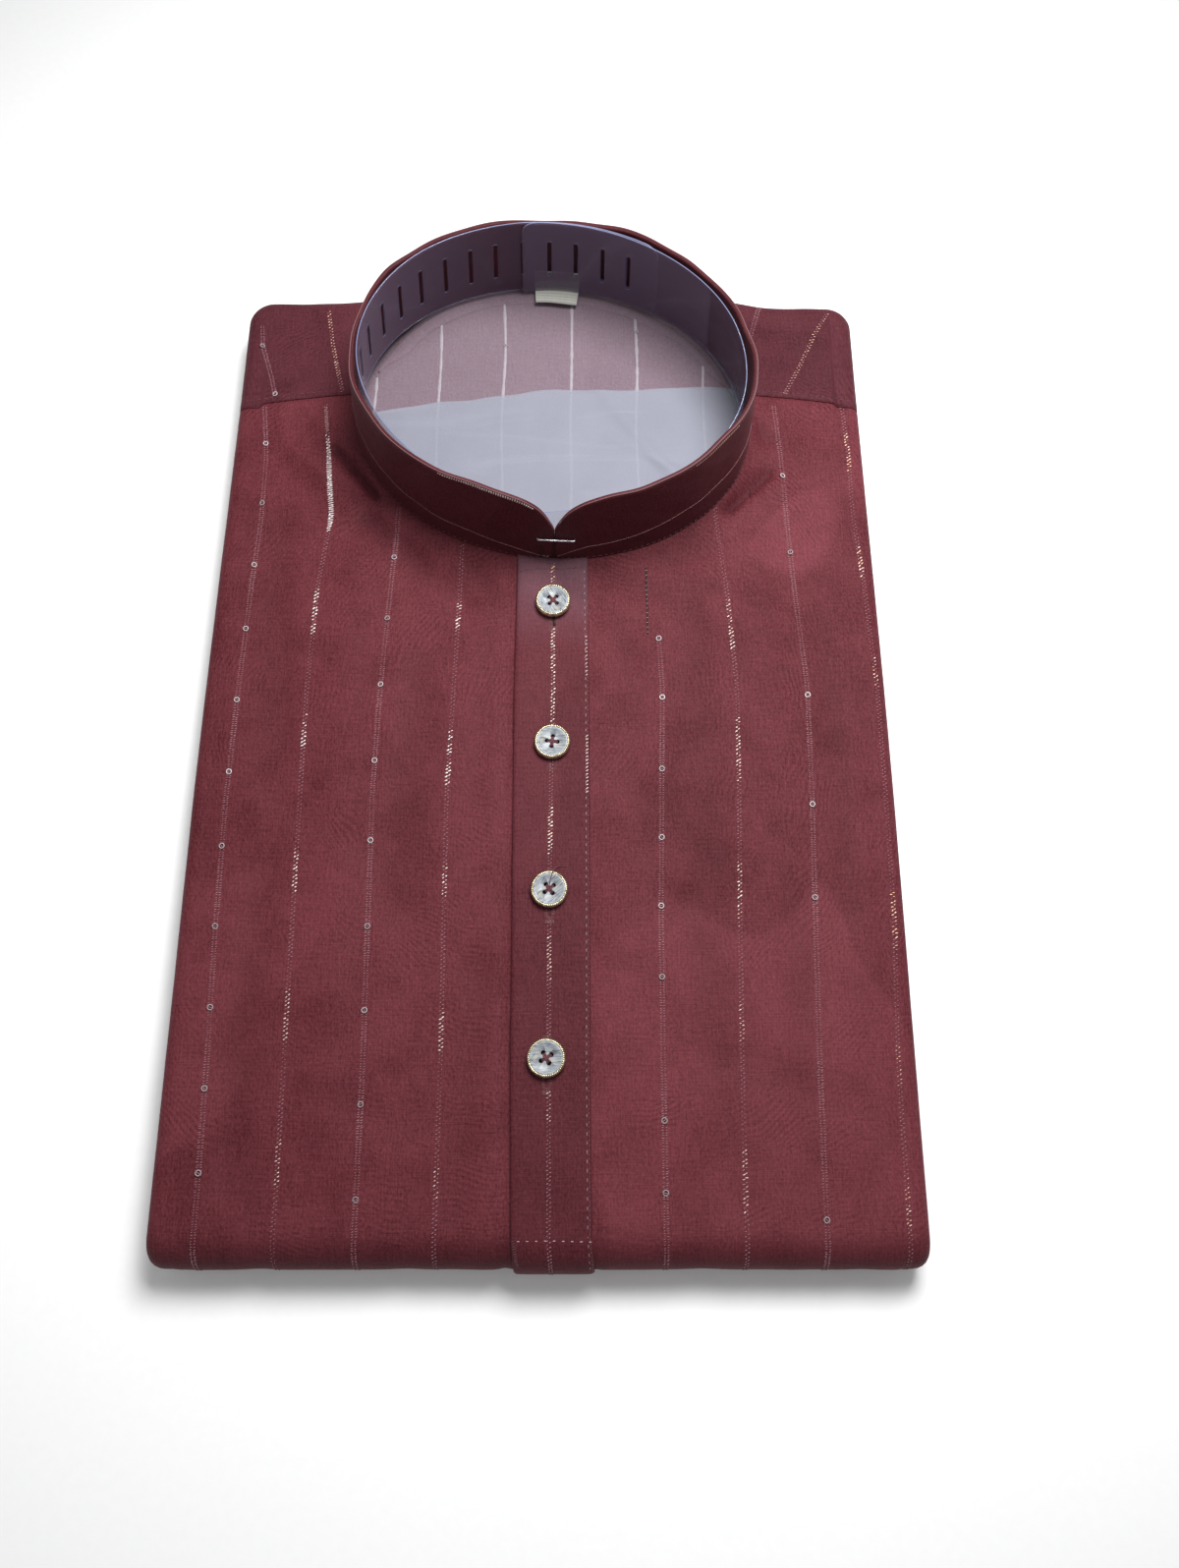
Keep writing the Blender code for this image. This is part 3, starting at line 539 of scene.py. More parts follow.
def tube(path: Array, radius: float, sides: int = 6) -> Shape:
    """A round thread along a line of points, capped at both ends.

    Each ring stands square to the line; its first spoke is the line's direction crossed with up.

    Args:
        path: points of the centre line.
        radius: its radius.
        sides: faces round it.
    """
    along = unit(np.gradient(path, axis=0))
    guide = np.where(np.abs(along[:, 2:3]) > 0.9, [[1.0, 0.0, 0.0]], [[0.0, 0.0, 1.0]])
    across = unit(np.cross(along, guide))
    up = np.cross(across, along)
    turn = np.linspace(0, FULL_TURN, sides, endpoint=False)[None, :, None]
    points = path[:, None] + (across[:, None] * np.cos(turn) + up[:, None] * np.sin(turn)) * radius
    first = np.arange(sides)[None, :]
    caps = [first, first[:, ::-1] + (len(path) - 1) * sides]
    return points.reshape(-1, 3), [grid_faces(len(path), sides, round_columns=True), *caps]


def join(parts: Sequence[Shape]) -> Shape:
    """Several shapes as one."""
    points, faces, base = [], [], 0
    for part_points, part_faces in parts:
        points.append(part_points.reshape(-1, 3))
        faces += [part + base for part in part_faces]
        base += len(points[-1])
    return np.concatenate(points), faces


@dataclass(frozen=True)
class Frames:
    """Places on a surface, each with its own directions: across, along and out."""

    origin: Array
    across: Array
    along: Array
    out: Array

    def column(self, value: Number) -> Array:
        """One number for each place, as a column."""
        return np.broadcast_to(value, self.origin.shape[:1])[:, None]

    def turned(self, angle: Number) -> Frames:
        """The same places, turned about their outward direction."""
        c, s = np.cos(self.column(angle)), np.sin(self.column(angle))
        across, along = self.across * c + self.along * s, self.along * c - self.across * s
        return Frames(self.origin, across, along, self.out)

    def moved(self, across: Number = 0.0, along: Number = 0.0, out: Number = 0.0) -> Frames:
        """The same directions, at places moved by these distances."""
        origin = self.origin + self.across * self.column(across) + self.along * self.column(along)
        return Frames(origin + self.out * self.column(out), self.across, self.along, self.out)


@dataclass(frozen=True)
class Line:
    """A path on a surface, given by the surface's two parameters along it."""

    surface: Surface
    a: Array
    b: Array

    def even(self, pitch: float) -> tuple[Line, Array]:
        """Places at an even pitch along the path, and their running lengths."""
        fine, spread = np.linspace(0, 1, 1200), np.linspace(0, 1, len(self.a))
        fine_a, fine_b = np.interp(fine, spread, self.a), np.interp(fine, spread, self.b)
        run = lengths(self.surface(fine_a, fine_b))
        at = np.arange(pitch / 2, run[-1], pitch)
        return Line(self.surface, np.interp(at, run, fine_a), np.interp(at, run, fine_b)), at

    def frames(self, step: float = 0.05) -> Frames:
        """The path's places, their outward direction from the surface's two slopes."""
        a, b, surface = self.a, self.b, self.surface
        points = surface(a, b)
        out = unit(np.cross(surface(a + step, b) - surface(a - step, b),
                            surface(a, b + step) - surface(a, b - step)))
        across = unit(np.cross(unit(np.gradient(points, axis=0)), out))
        return Frames(points, across, np.cross(out, across), out)


def repeated(shape: Shape, at: Frames, size: Number = 1.0) -> Shape:
    """One small shape set at many places.

    Args:
        shape: its points, as across, along and out, and its faces.
        at: the places.
        size: scale, one number, or three a place.
    """
    points, faces = shape
    count = len(at.origin)
    local = points[None] * np.broadcast_to(np.asarray(size, float), (count, 3))[:, None]
    placed = at.origin[:, None] + local[..., :1] * at.across[:, None]
    placed = placed + local[..., 1:2] * at.along[:, None] + local[..., 2:] * at.out[:, None]
    bases = (np.arange(count) * len(points))[:, None, None]
    return placed.reshape(-1, 3), [(part[None] + bases).reshape(-1, part.shape[1]) for part in faces]


def stitch_shape(sides: int = 4) -> Shape:
    """A stitch lying across: a tube of unit half length and radius, thinner at its two ends."""
    place, radius = np.array([[-1, -0.55, 0.55, 1], [0.35, 0.8424, 0.8424, 0.35]])[..., None]
    turn = (np.arange(sides) + 0.5) * FULL_TURN / sides
    points = stack(place, radius * np.cos(turn), radius * np.sin(turn))
    first = np.arange(sides)[None, :]
    caps = [first, (first + 3 * sides)[:, ::-1]]
    return points.reshape(-1, 3), [grid_faces(4, sides, round_columns=True)[:, ::-1], *caps]


def ring_shape(radius: float, thick: float, steps: int = 14, sides: int = 6) -> Shape:
    """A sequin's ring: a torus a little flatter than round."""
    turn = np.linspace(0, FULL_TURN, steps, endpoint=False)[:, None]
    spoke = np.linspace(0, FULL_TURN, sides, endpoint=False)[None, :]
    reach = radius + thick * np.cos(spoke)
    points = stack(reach * np.cos(turn), reach * np.sin(turn), 0.7 * thick * np.sin(spoke))
    return points.reshape(-1, 3), [grid_faces(steps, sides, True, True)]


def lathe(radius: Array, height: Array, steps: int) -> Shape:
    """A profile turned about the Z axis; its first and last points are on the axis."""
    turn = np.linspace(0, FULL_TURN, steps, endpoint=False)
    body = stack(radius[1:-1, None] * np.cos(turn), radius[1:-1, None] * np.sin(turn), height[1:-1, None])
    points = np.concatenate([body.reshape(-1, 3), [[0, 0, height[0]], [0, 0, height[-1]]]])
    rows, ring = len(body), np.arange(steps)
    top, foot = fan(rows * steps, ring), fan(rows * steps + 1, ring + (rows - 1) * steps)[:, [0, 2, 1]]
    return points, [grid_faces(rows, steps, round_columns=True), top, foot]


# ---- finishes


Colour = tuple[float, float, float]
Paint = tuple[float, float, float, float]
Socket = bpy.types.NodeSocket
Value = Socket | float


def opaque(colour: Colour, share: float = 1.0) -> Paint:
    """A colour with full cover, darkened to a share of itself."""
    return (*(share * part for part in colour), 1.0)


class Graph:
    """One material's nodes, added from left to right."""

    def __init__(self, name: str) -> None:
        """A material with its Principled shader alone."""
        self.material = bpy.data.materials.new(name)
        self.material.use_nodes = True
        self.tree = self.material.node_tree
        self.shader = self.tree.nodes["Principled BSDF"]

    def put(self, node: bpy.types.Node, values: dict) -> None:
        """Links each socket, or sets each plain value, on a node's inputs."""
        for key, value in values.items():
            if isinstance(value, Socket):
                self.tree.links.new(value, node.inputs[key])
            else:
                node.inputs[key].default_value = value

    def finish(self, **values: Value | Paint) -> bpy.types.Material:
        """Puts values on the shader, by name with _ for a space, and gives the material."""
        self.put(self.shader, {key.replace("_", " "): value for key, value in values.items()})
        return self.material

    def add(self, kind: str, values: dict, **settings: str | bool) -> bpy.types.Node:
        """A node of a kind, with its inputs and its settings."""
        node = self.tree.nodes.new("ShaderNode" + kind)
        for key, value in settings.items():
            setattr(node, key, value)
        self.put(node, values)
        return node

    def sum(self, operation: str, first: Value, second: Value, third: Value = 0.0) -> Socket:
        """The result of one sum on two values, or on three."""
        return self.add("Math", {0: first, 1: second, 2: third}, operation=operation).outputs[0]

    def total(self, start: Value, *parts: tuple[Value, float, float]) -> Socket:
        """A start, plus each part's value less its middle, times its weight.

        Args:
            start: where the sum starts.
            *parts: a value, its middle and its weight each.
        """
        for value, middle, weight in parts:
            away = self.sum("SUBTRACT", value, middle)
            start = self.sum("MULTIPLY_ADD", away, weight, start)
        return start

    def spread(self, value: Socket, low: float, high: float) -> Socket:
        """A value turned to 0 at low and 1 at high, held between."""
        node = self.add("MapRange", {"Value": value, "From Min": low, "From Max": high}, clamp=True)
        return node.outputs["Result"]

    def blend(self, share: Value, first: Socket | Paint, second: Socket | Paint,
              kind: str = "MIX") -> Socket:
        """A colour between two, or one laid over the other."""
        node = self.add("Mix", {0: share, 6: first, 7: second}, data_type="RGBA", blend_type=kind)
        return node.outputs[2]

    def stretched(self, vector: Socket, scale: tuple[float, float, float], turn: float = 0.0) -> Socket:
        """Places with each axis scaled, turned about the last one."""
        values = {"Vector": vector, "Scale": scale, "Rotation": (0.0, 0.0, turn)}
        return self.add("Mapping", values).outputs["Vector"]

    def noise(self, vector: Socket, scale: float = 1.0, detail: float = 2.0,
              wander: float = 0.0) -> Socket:
        """Smooth noise, about 0.5."""
        values = {"Vector": vector, "Scale": scale, "Detail": detail, "Distortion": wander}
        return self.add("TexNoise", values).outputs["Fac"]

    def bump(self, height: Socket, depth: float) -> Socket:
        """Normals of a height, at a real depth in metres."""
        return self.add("Bump", {"Height": height, "Strength": 1.0, "Distance": depth}).outputs["Normal"]

    def cloth(self) -> Socket:
        """The cloth's own coordinates, in metres."""
        return self.add("UVMap", {}, uv_map="cloth").outputs["UV"]

    def place(self) -> Socket:
        """Places in the piece, in metres."""
        return self.add("TexCoord", {}).outputs["Object"]

    def number(self, name: str) -> Socket:
        """A number kept on the piece's points."""
        return self.add("Attribute", {}, attribute_name=name).outputs["Fac"]


@dataclass(frozen=True)
class Finish:
    """What every finish has: the name of its material."""

    name: str

    def material(self) -> bpy.types.Material:
        """The finished material, which each kind of finish makes in its own way."""
        raise NotImplementedError


@cache
def material_of(finish: Finish) -> bpy.types.Material:
    """A finish's material, made when a piece first takes it."""
    return finish.material()


@dataclass(frozen=True)
class SilkFinish(Finish):
    """Art silk: fine slubbed threads both ways, soft patches, and a generic tone-on-tone figure."""

    deep: Colour
    bright: Colour
    roughness: float = 0.66
    sheen: float = 0.06
    sheen_colour: Colour = (0.8, 0.35, 0.42)
    figure: float = 0.45
    slub: float = 1.0
    # weight of the painted light and shade of the broad planes
    plane: float = 0.34
    # painted sheen: a pale lilac-grey veil over the colour, rising between two heights in metres
    painted_sheen: float = 0.0
    painted_sheen_colour: Colour = (0.35, 0.29, 0.38)
    painted_sheen_from: float = 0.034
    painted_sheen_to: float = 0.066
    # painted shade: how far the points' share of it darkens the colour towards a deep tone
    painted_shade: float = 0.0

    def planes(self, g: Graph, place: Socket) -> Socket:
        """Broad planes of slightly different tone in random cells: painted light and shade that stands for
        tilted planes of the cloth.
        """
        bent = g.noise(place, 12.0, 1.0)
        shifted = g.add("VectorMath", {0: place, 1: bent, 2: (0.06, 0.06, 0.0)}, operation="MULTIPLY_ADD")
        values = {"Vector": g.stretched(shifted.outputs[0], (21.0, 13.0, 1.0), 0.7), "Scale": 1.0,
                  "Smoothness": 0.07, "Randomness": 0.95}
        cells = g.add("TexVoronoi", values, feature="SMOOTH_F1")
        return g.add("SeparateColor", {"Color": cells.outputs["Color"]}).outputs[0]

    def figure_tone(self, g: Graph, place: Socket) -> Socket:
        """Petal shapes in turned cells, each filled with fine curved hatching.

        Args:
            g: the material's nodes.
            place: the cloth's coordinates.

        Returns:
            A value about 0.2.
        """
        cells = g.add("TexVoronoi", {"Vector": place, "Scale": 34.0, "Randomness": 0.55})
        near = g.spread(cells.outputs["Distance"], 0.62, 0.28)
        wander = g.noise(place, 60.0, 1.0)
        hatch = g.add("TexWave", {"Vector": place, "Scale": 190.0, "Distortion": 16.0, "Detail": 1.0,
                                  "Detail Scale": 0.35}, wave_type="RINGS", rings_direction="Z")
        petals = g.sum("MULTIPLY", near, g.spread(wander, 0.35, 0.6))
        lines = g.sum("MULTIPLY", petals, hatch.outputs["Fac"])
        shade = g.sum("MULTIPLY", g.spread(wander, 0.62, 0.4), 0.35)
        return g.sum("MULTIPLY_ADD", lines, 0.6, shade)

    def colour(self, g: Graph, place: Socket, tone: Socket) -> Socket:
        """The cloth's colour by its tone, darkened by painted shade in troughs and at the fold, and, where
        set, veiled by a painted sheen high up.

        Args:
            g: the material's nodes.
            place: the cloth's coordinates.
            tone: a value, 0 deep to 1 bright.
        """
        colour = g.blend(g.spread(tone, 0.0, 1.0), opaque(self.deep), opaque(self.bright))
        # painted shade: darker towards a deep tone in troughs and folds, by the points' share
        if self.painted_shade:
            share = g.sum("MULTIPLY", g.number("painted_shade"), self.painted_shade)
            colour = g.blend(share, colour, opaque(self.deep, 0.35))
        # painted sheen: the colour veiled towards lilac-grey higher up the piece
        if self.painted_sheen:
            upper = g.add("SeparateXYZ", {"Vector": g.place()}).outputs["Y"]
            wavy = g.sum("MULTIPLY_ADD", g.noise(place, 90.0, 2.0), 0.016, upper)
            share = g.sum("MULTIPLY", g.spread(wavy, self.painted_sheen_from, self.painted_sheen_to), self.painted_sheen)
            colour = g.blend(share, colour, opaque(self.painted_sheen_colour))
        return colour

    def material(self) -> bpy.types.Material:
        """Threads, slubs, grain, patches, planes and figure summed to a tone, threads and slubs raised."""
        g = Graph(self.name)
        place = g.cloth()
        weft = g.noise(g.stretched(place, (110.0, 1900.0, 1.0)))
        warp = g.noise(g.stretched(place, (1900.0, 130.0, 1.0)))
        slubs = g.noise(g.stretched(place, (120.0, 800.0, 1.0)), detail=3.0)
        grain = g.noise(g.stretched(place, (1500.0, 900.0, 1.0), 0.8))
        tone = g.total(0.42, (weft, 0.5, 0.5 * self.slub), (warp, 0.5, 0.7), (slubs, 0.5, 0.22 * self.slub),
                       (grain, 0.5, 1.2), (g.noise(place, 24.0, 2.0, 0.6), 0.5, 0.2),
                       (self.planes(g, place), 0.5, self.plane),
                       (self.figure_tone(g, place), 0.2, self.figure))
        rise = g.total(0.0, (weft, 0.0, 0.6), (warp, 0.0, 0.5), (slubs, 0.0, 0.5))
        return g.finish(
            Base_Color=self.colour(g, place, tone), Normal=g.bump(rise, 0.00016), Specular_IOR_Level=0.1,
            Roughness=g.sum("MULTIPLY_ADD", slubs, 0.16, self.roughness - 0.08),
            Sheen_Weight=self.sheen, Sheen_Roughness=0.45, Sheen_Tint=opaque(self.sheen_colour))


@dataclass(frozen=True)
class ThreadFinish(Finish):
    """Stitch thread, from dull to metallic by the points' glint, silver to copper by their warmth."""

    dull: Colour
    silver: Colour = (0.88, 0.84, 0.84)
    copper: Colour = (0.88, 0.50, 0.30)
    sheen: float = 0.08

    def material(self) -> bpy.types.Material:
        """The brighter a thread, the more metallic and the smoother."""
        g = Graph(self.name)
        glint, fibre = g.number("glint"), g.noise(g.place(), 1700.0)
        metal = g.blend(g.number("warmth"), opaque(self.silver), opaque(self.copper))
        worn = g.blend(g.spread(fibre, 0.2, 0.8), (0.72, 0.7, 0.7, 1.0), (1.0, 1.0, 1.0, 1.0))
        colour = g.blend(1.0, g.blend(glint, opaque(self.dull), metal), worn, "MULTIPLY")
        return g.finish(
            Base_Color=colour, Metallic=g.sum("MULTIPLY", glint, 0.3), Normal=g.bump(fibre, 0.00008),
            Roughness=g.sum("MULTIPLY_ADD", glint, -0.28, 0.66), Sheen_Weight=self.sheen,
            Specular_IOR_Level=0.3)


@dataclass(frozen=True)
class ClearFinish(Finish):
    """Clear plastic: it lets most light by, more at its face than at a slant, and is softly hazy, more so
    where painted light is set on its points.
    """

    tint: Colour
    least: float
    slant: float
    roughness: float = 0.14
    gloss: float = 0.6
    # whether the cover follows the points' share of haziness, painted reflection and painted shade
    haze_and_painted_light: bool = False
    streak: float = 0.0

    def material(self) -> bpy.types.Material:
        """Cover grows with the square of the slant, and varies with clouds, streaks and the points' share of
        haziness with painted light.
        """
        g = Graph(self.name)
        place = g.place()
        facing = g.add("LayerWeight", {"Blend": 0.35}).outputs["Facing"]
        cover = g.sum("MULTIPLY_ADD", g.sum("POWER", facing, 2.0), self.slant, self.least)
        cover = g.total(cover, (g.noise(place, 45.0, 3.0), 0.5, 0.35 * self.least))
        # painted reflection and shade: the points' share scales the cover
        if self.haze_and_painted_light:
            cover = g.sum("MULTIPLY", cover, g.number("haze_and_painted_light"))
        if self.streak:
            lines = g.noise(g.stretched(place, (14.0, 90.0, 20.0), 0.5), 1.0, 2.0, 0.8)
            cover = g.sum("MULTIPLY_ADD", g.spread(lines, 0.56, 0.68), self.streak, cover)
        return g.finish(Base_Color=opaque(self.tint), Roughness=self.roughness, IOR=1.5,
                        Specular_IOR_Level=self.gloss, Alpha=g.sum("MINIMUM", cover, 0.97))


@dataclass(frozen=True)
class PearlFinish(Finish):
    """Shell of the buttons: grey-white layers in slanting streaks under a clear gloss."""

    turn: float

    def material(self) -> bpy.types.Material:
        """Long streaks from grey to white, warm spots, and a few thin dark marks."""
        g = Graph(self.name)
        place = g.stretched(g.cloth(), (1.0, 1.0, 1.0), self.turn)
        streaks = g.noise(g.stretched(place, (230.0, 1150.0, 1.0), 0.5), 1.0, 3.0, 1.4)
        marks = g.noise(g.stretched(place, (260.0, 2100.0, 1.0), -0.7), 1.0, 2.0, 0.6)
        body = g.blend(g.spread(streaks, 0.32, 0.66), (0.13, 0.145, 0.165, 1.0), (0.33, 0.355, 0.385, 1.0))
        warm = g.blend(g.spread(g.noise(place, 420.0), 0.5, 0.7), body, (0.33, 0.325, 0.275, 1.0))
        colour = g.blend(g.spread(marks, 0.63, 0.66), warm, (0.07, 0.07, 0.085, 1.0))
        return g.finish(Base_Color=colour, Roughness=g.spread(streaks, -0.6, 1.6), Specular_IOR_Level=0.45,
                        Coat_Weight=0.25, Coat_Roughness=0.2, Normal=g.bump(streaks, 0.00012))


@dataclass(frozen=True)
class MetalFinish(Finish):
    """Plated or bare metal with small marks of use."""

    colour: Colour
    dark: Colour
    roughness: float

    def material(self) -> bpy.types.Material:
        """Dark where it is worn, and rougher there."""
        g = Graph(self.name)
        worn = g.noise(g.place(), 900.0, 3.0)
        colour = g.blend(g.spread(worn, 0.36, 0.62), opaque(self.dark), opaque(self.colour))
        return g.finish(Base_Color=colour, Metallic=0.9, Normal=g.bump(worn, 0.00004),
                        Roughness=g.sum("MULTIPLY_ADD", worn, 0.2, self.roughness - 0.1))


@dataclass(frozen=True)
class TapeFinish(Finish):
    """Narrow woven tape: close ribs one way, faint threads the other."""

    dark: Colour
    light: Colour

    def material(self) -> bpy.types.Material:
        """Ribs and fibres summed to a tone, which is raised too."""
        g = Graph(self.name)
        ribs = g.add("TexWave", {"Vector": g.cloth(), "Scale": 269.84, "Distortion": 0.6, "Detail": 1.0},
                     bands_direction="Y").outputs["Fac"]
        fibre = g.noise(g.stretched(g.cloth(), (1500.0, 260.0, 1.0)))
        tone = g.total(0.0, (ribs, 0.0, 0.45), (fibre, 0.0, 0.6))
        colour = g.blend(g.spread(tone, 0.1, 0.9), opaque(self.dark), opaque(self.light))
        return g.finish(Base_Color=colour, Roughness=0.72, Sheen_Weight=0.2, Normal=g.bump(tone, 0.00012),
                        Specular_IOR_Level=0.3)


@dataclass(frozen=True)
class BoardFinish(Finish):
    """The pale board that the pack lies on."""

    colour: Colour

    def material(self) -> bpy.types.Material:
        """Nearly even, with a faint grain."""
        g = Graph(self.name)
        colour = g.blend(g.noise(g.place(), 300.0), opaque(self.colour, 0.96), opaque(self.colour))
        return g.finish(Base_Color=colour, Roughness=0.85, Specular_IOR_Level=0.2)


# the front takes painted shade in its crease troughs and along its bottom fold
FRONT_SILK = SilkFinish("front_silk", (0.053, 0.0070, 0.0101), (0.158, 0.0346, 0.0449), painted_shade=0.6)
# a darker copy of the silk: painted shade of the yoke, which slopes away from the light
YOKE_SILK_SHADED = SilkFinish("yoke_silk_shaded", (0.039, 0.0062, 0.0098), (0.101, 0.0246, 0.0336))
# the placket's upper end takes a painted sheen
PLACKET_SILK = SilkFinish("placket_silk", (0.044, 0.0064, 0.0091), (0.117, 0.0256, 0.0339), figure=0.2,
                          painted_sheen=0.11)
# a darker copy of the silk: painted shade of the collar's upright wall, turned away from the light
COLLAR_SILK_SHADED = SilkFinish("collar_silk_shaded", (0.041, 0.0073, 0.0098), (0.091, 0.0204, 0.0252), roughness=0.46,
                         sheen=0.05, figure=0.0, plane=0.2)
FOLDED_SILK = SilkFinish("folded_silk", (0.046, 0.0077, 0.0108), (0.108, 0.0254, 0.0323), figure=0.0)
INSIDE_SILK = SilkFinish("inside_silk", (0.139, 0.096, 0.120), (0.209, 0.156, 0.185), figure=0.12,
                         sheen=0.2, sheen_colour=(0.9, 0.8, 0.9), slub=0.8, plane=0.2)
BINDING_SILK = SilkFinish("binding_silk", (0.155, 0.107, 0.133), (0.228, 0.169, 0.201), figure=0.0,
                          sheen=0.2, plane=0.0)
STRIPE_THREAD = ThreadFinish("stripe_thread", (0.265, 0.116, 0.146), (0.95, 0.91, 0.90))
SEWING_THREAD = ThreadFinish("sewing_thread", (0.115, 0.042, 0.051), (0.45, 0.33, 0.36))
DARK_THREAD = ThreadFinish("dark_thread", (0.031, 0.0085, 0.011), sheen=0.0)
PALE_THREAD = ThreadFinish("pale_thread", (0.28, 0.175, 0.20), (0.80, 0.75, 0.77))
HOLE_THREAD = ThreadFinish("buttonhole_thread", (0.115, 0.032, 0.040), (0.42, 0.33, 0.35))
# painted highlight: a lighter maroon for the cord along the collar's folded top edge
PIPING_HIGHLIGHT = ThreadFinish("piping_highlight", (0.127, 0.042, 0.052))
SEQUIN_PEARL = ThreadFinish("sequin_pearl", (0.25, 0.175, 0.19), (0.75, 0.72, 0.75))
REVERSE_FLOATS = ThreadFinish("reverse_floats", (0.35, 0.315, 0.35))
BAND_CLEAR = ClearFinish("band_clear", (0.18, 0.123, 0.20), 0.30, 0.30, haze_and_painted_light=True)
# painted highlight: a bluish, nearly opaque finish for the light caught in the band's cut edges
BAND_EDGE_HIGHLIGHT = ClearFinish("band_edge_highlight", (0.17, 0.19, 0.31), 0.85, 0.1)
FILM_MILKY = ClearFinish("film_milky", (0.342, 0.358, 0.430), 0.42, 0.1, roughness=0.55, gloss=0.25,
                         streak=0.05)
RIM_GOLD = MetalFinish("rim_gold", (0.72, 0.67, 0.48), (0.36, 0.31, 0.17), 0.28)
PIN_STEEL = MetalFinish("pin_steel", (0.60, 0.58, 0.62), (0.35, 0.34, 0.37), 0.3)
LABEL_TAPE = TapeFinish("label_tape", (0.32, 0.32, 0.29), (0.48, 0.48, 0.43))
PALE_BOARD = BoardFinish("pale_board", (0.95, 0.95, 0.945))


# ---- body cloth


def roll_corner(rim: Pair, centre: tuple[float, float], along: int, across: Array) -> tuple[Array, ...]:
    """A corner of a rolled edge, where square rings of the grid become round ones.

    Args:
        rim: section of the roll, as its insets and its distances from the middle plane.
        centre: plan point that the corner turns about.
        along: ring number counted along the pack.
        across: ring numbers counted across it.

    Returns:
        X, Y and distance from the middle plane.
    """
    ring = np.maximum(along, across)
    share = np.minimum(along, across) / np.maximum(ring, 1)
    turn = np.where(across >= along, share, 2 - share) * math.pi / 4
    reach = PACK.corner - rim[0][ring]
    return centre[0] + reach * np.cos(turn), centre[1] + reach * np.sin(turn), rim[1][ring]


def seam_angles() -> tuple[float, float]:
    """Angles at which the neck oval crosses the yoke seam, right and left."""
    right = np.linspace(-0.3, 0.5, 1601)
    found = [a[np.argmin(np.abs(NECK.ring(a, NECK.lap)[1] - PACK.seam_y))] for a in (right, right + math.pi)]
    return float(found[0]), float(found[1])


def upper_height(x: Array, y: Array, distance: Array, above: bool) -> Array:
    """Height of the upper stack's face, given its distance from the middle plane.

    Args:
        x: plan places across.
        y: plan places along.
        distance: the distance, without the cloth's own relief.
        above: whether this is the yoke's side of the seam.
    """
    lie = LIE.outer(x, y) + LIE.seam_relief(x, y, above)
    return PACK.mid + distance + (lie - PACK.height) * np.maximum(PACK.share(distance), 0)


@dataclass
class WrappedCloth:
    """Cloth that wraps the pack: rows of columns that run left roll, face, right roll."""

    wall: float = 0.85
    beside: int = 24
    neck: int = 84

    def __post_init__(self) -> None:
        """Works out the roll's section, and takes up no rows yet."""
        self.rim = PACK.rim()
        self.arc = lengths(stack(-self.rim[0], self.rim[1], 0))
        self.roll_in, self.roll_out = self.rim[0][1:], self.rim[1][1:]
        self.roll_share = PACK.share(self.roll_out)
        self.last = len(self.roll_in)
        self.rows: list[Pair] = []

    def ends(self, angles: Array) -> Pair:
        """Upper ends of the columns between the rolled edges, on seam and neck.

        Args:
            angles: where the columns in the middle meet the neck.
        """
        oval_x, oval_y = NECK.ring(angles, NECK.lap)
        inner = float(PACK.side_edge(PACK.seam_y)) - PACK.corner
        left = np.linspace(-inner, oval_x[0], self.beside + 1)[:-1]
        right = np.linspace(oval_x[-1], inner, self.beside + 1)[1:]
        return (np.concatenate([left, oval_x, right]),
                np.concatenate([PACK.yoke_seam(left), oval_y, PACK.yoke_seam(right)]))

    def add(self, face: Array, sides: Sequence[Array], flat: float, u: Array, v: Number,
            v_side: float) -> None:
        """One row of points, with its cloth coordinates.

        Args:
            face: points of the face.
            sides: points of the left and the right roll, each from the face outwards.
            flat: distance of the rolls' inner lines from the middle.
            u: coordinates across the face.
            v: coordinates along the cloth on the face.
            v_side: the same on the rolls.
        """
        run = np.concatenate([-(flat + self.arc[1:])[::-1], u, flat + self.arc[1:]])
        rolled = np.full(self.last, v_side)
        down = np.concatenate([rolled, np.broadcast_to(v, u.shape), rolled])
        self.rows.append((np.concatenate([sides[0][::-1], face, sides[1]]), np.stack([run, down], axis=1)))

    def grids(self) -> Pair:
        """All rows as grids of points and of cloth coordinates."""
        return np.stack([row[0] for row in self.rows]), np.stack([row[1] for row in self.rows])


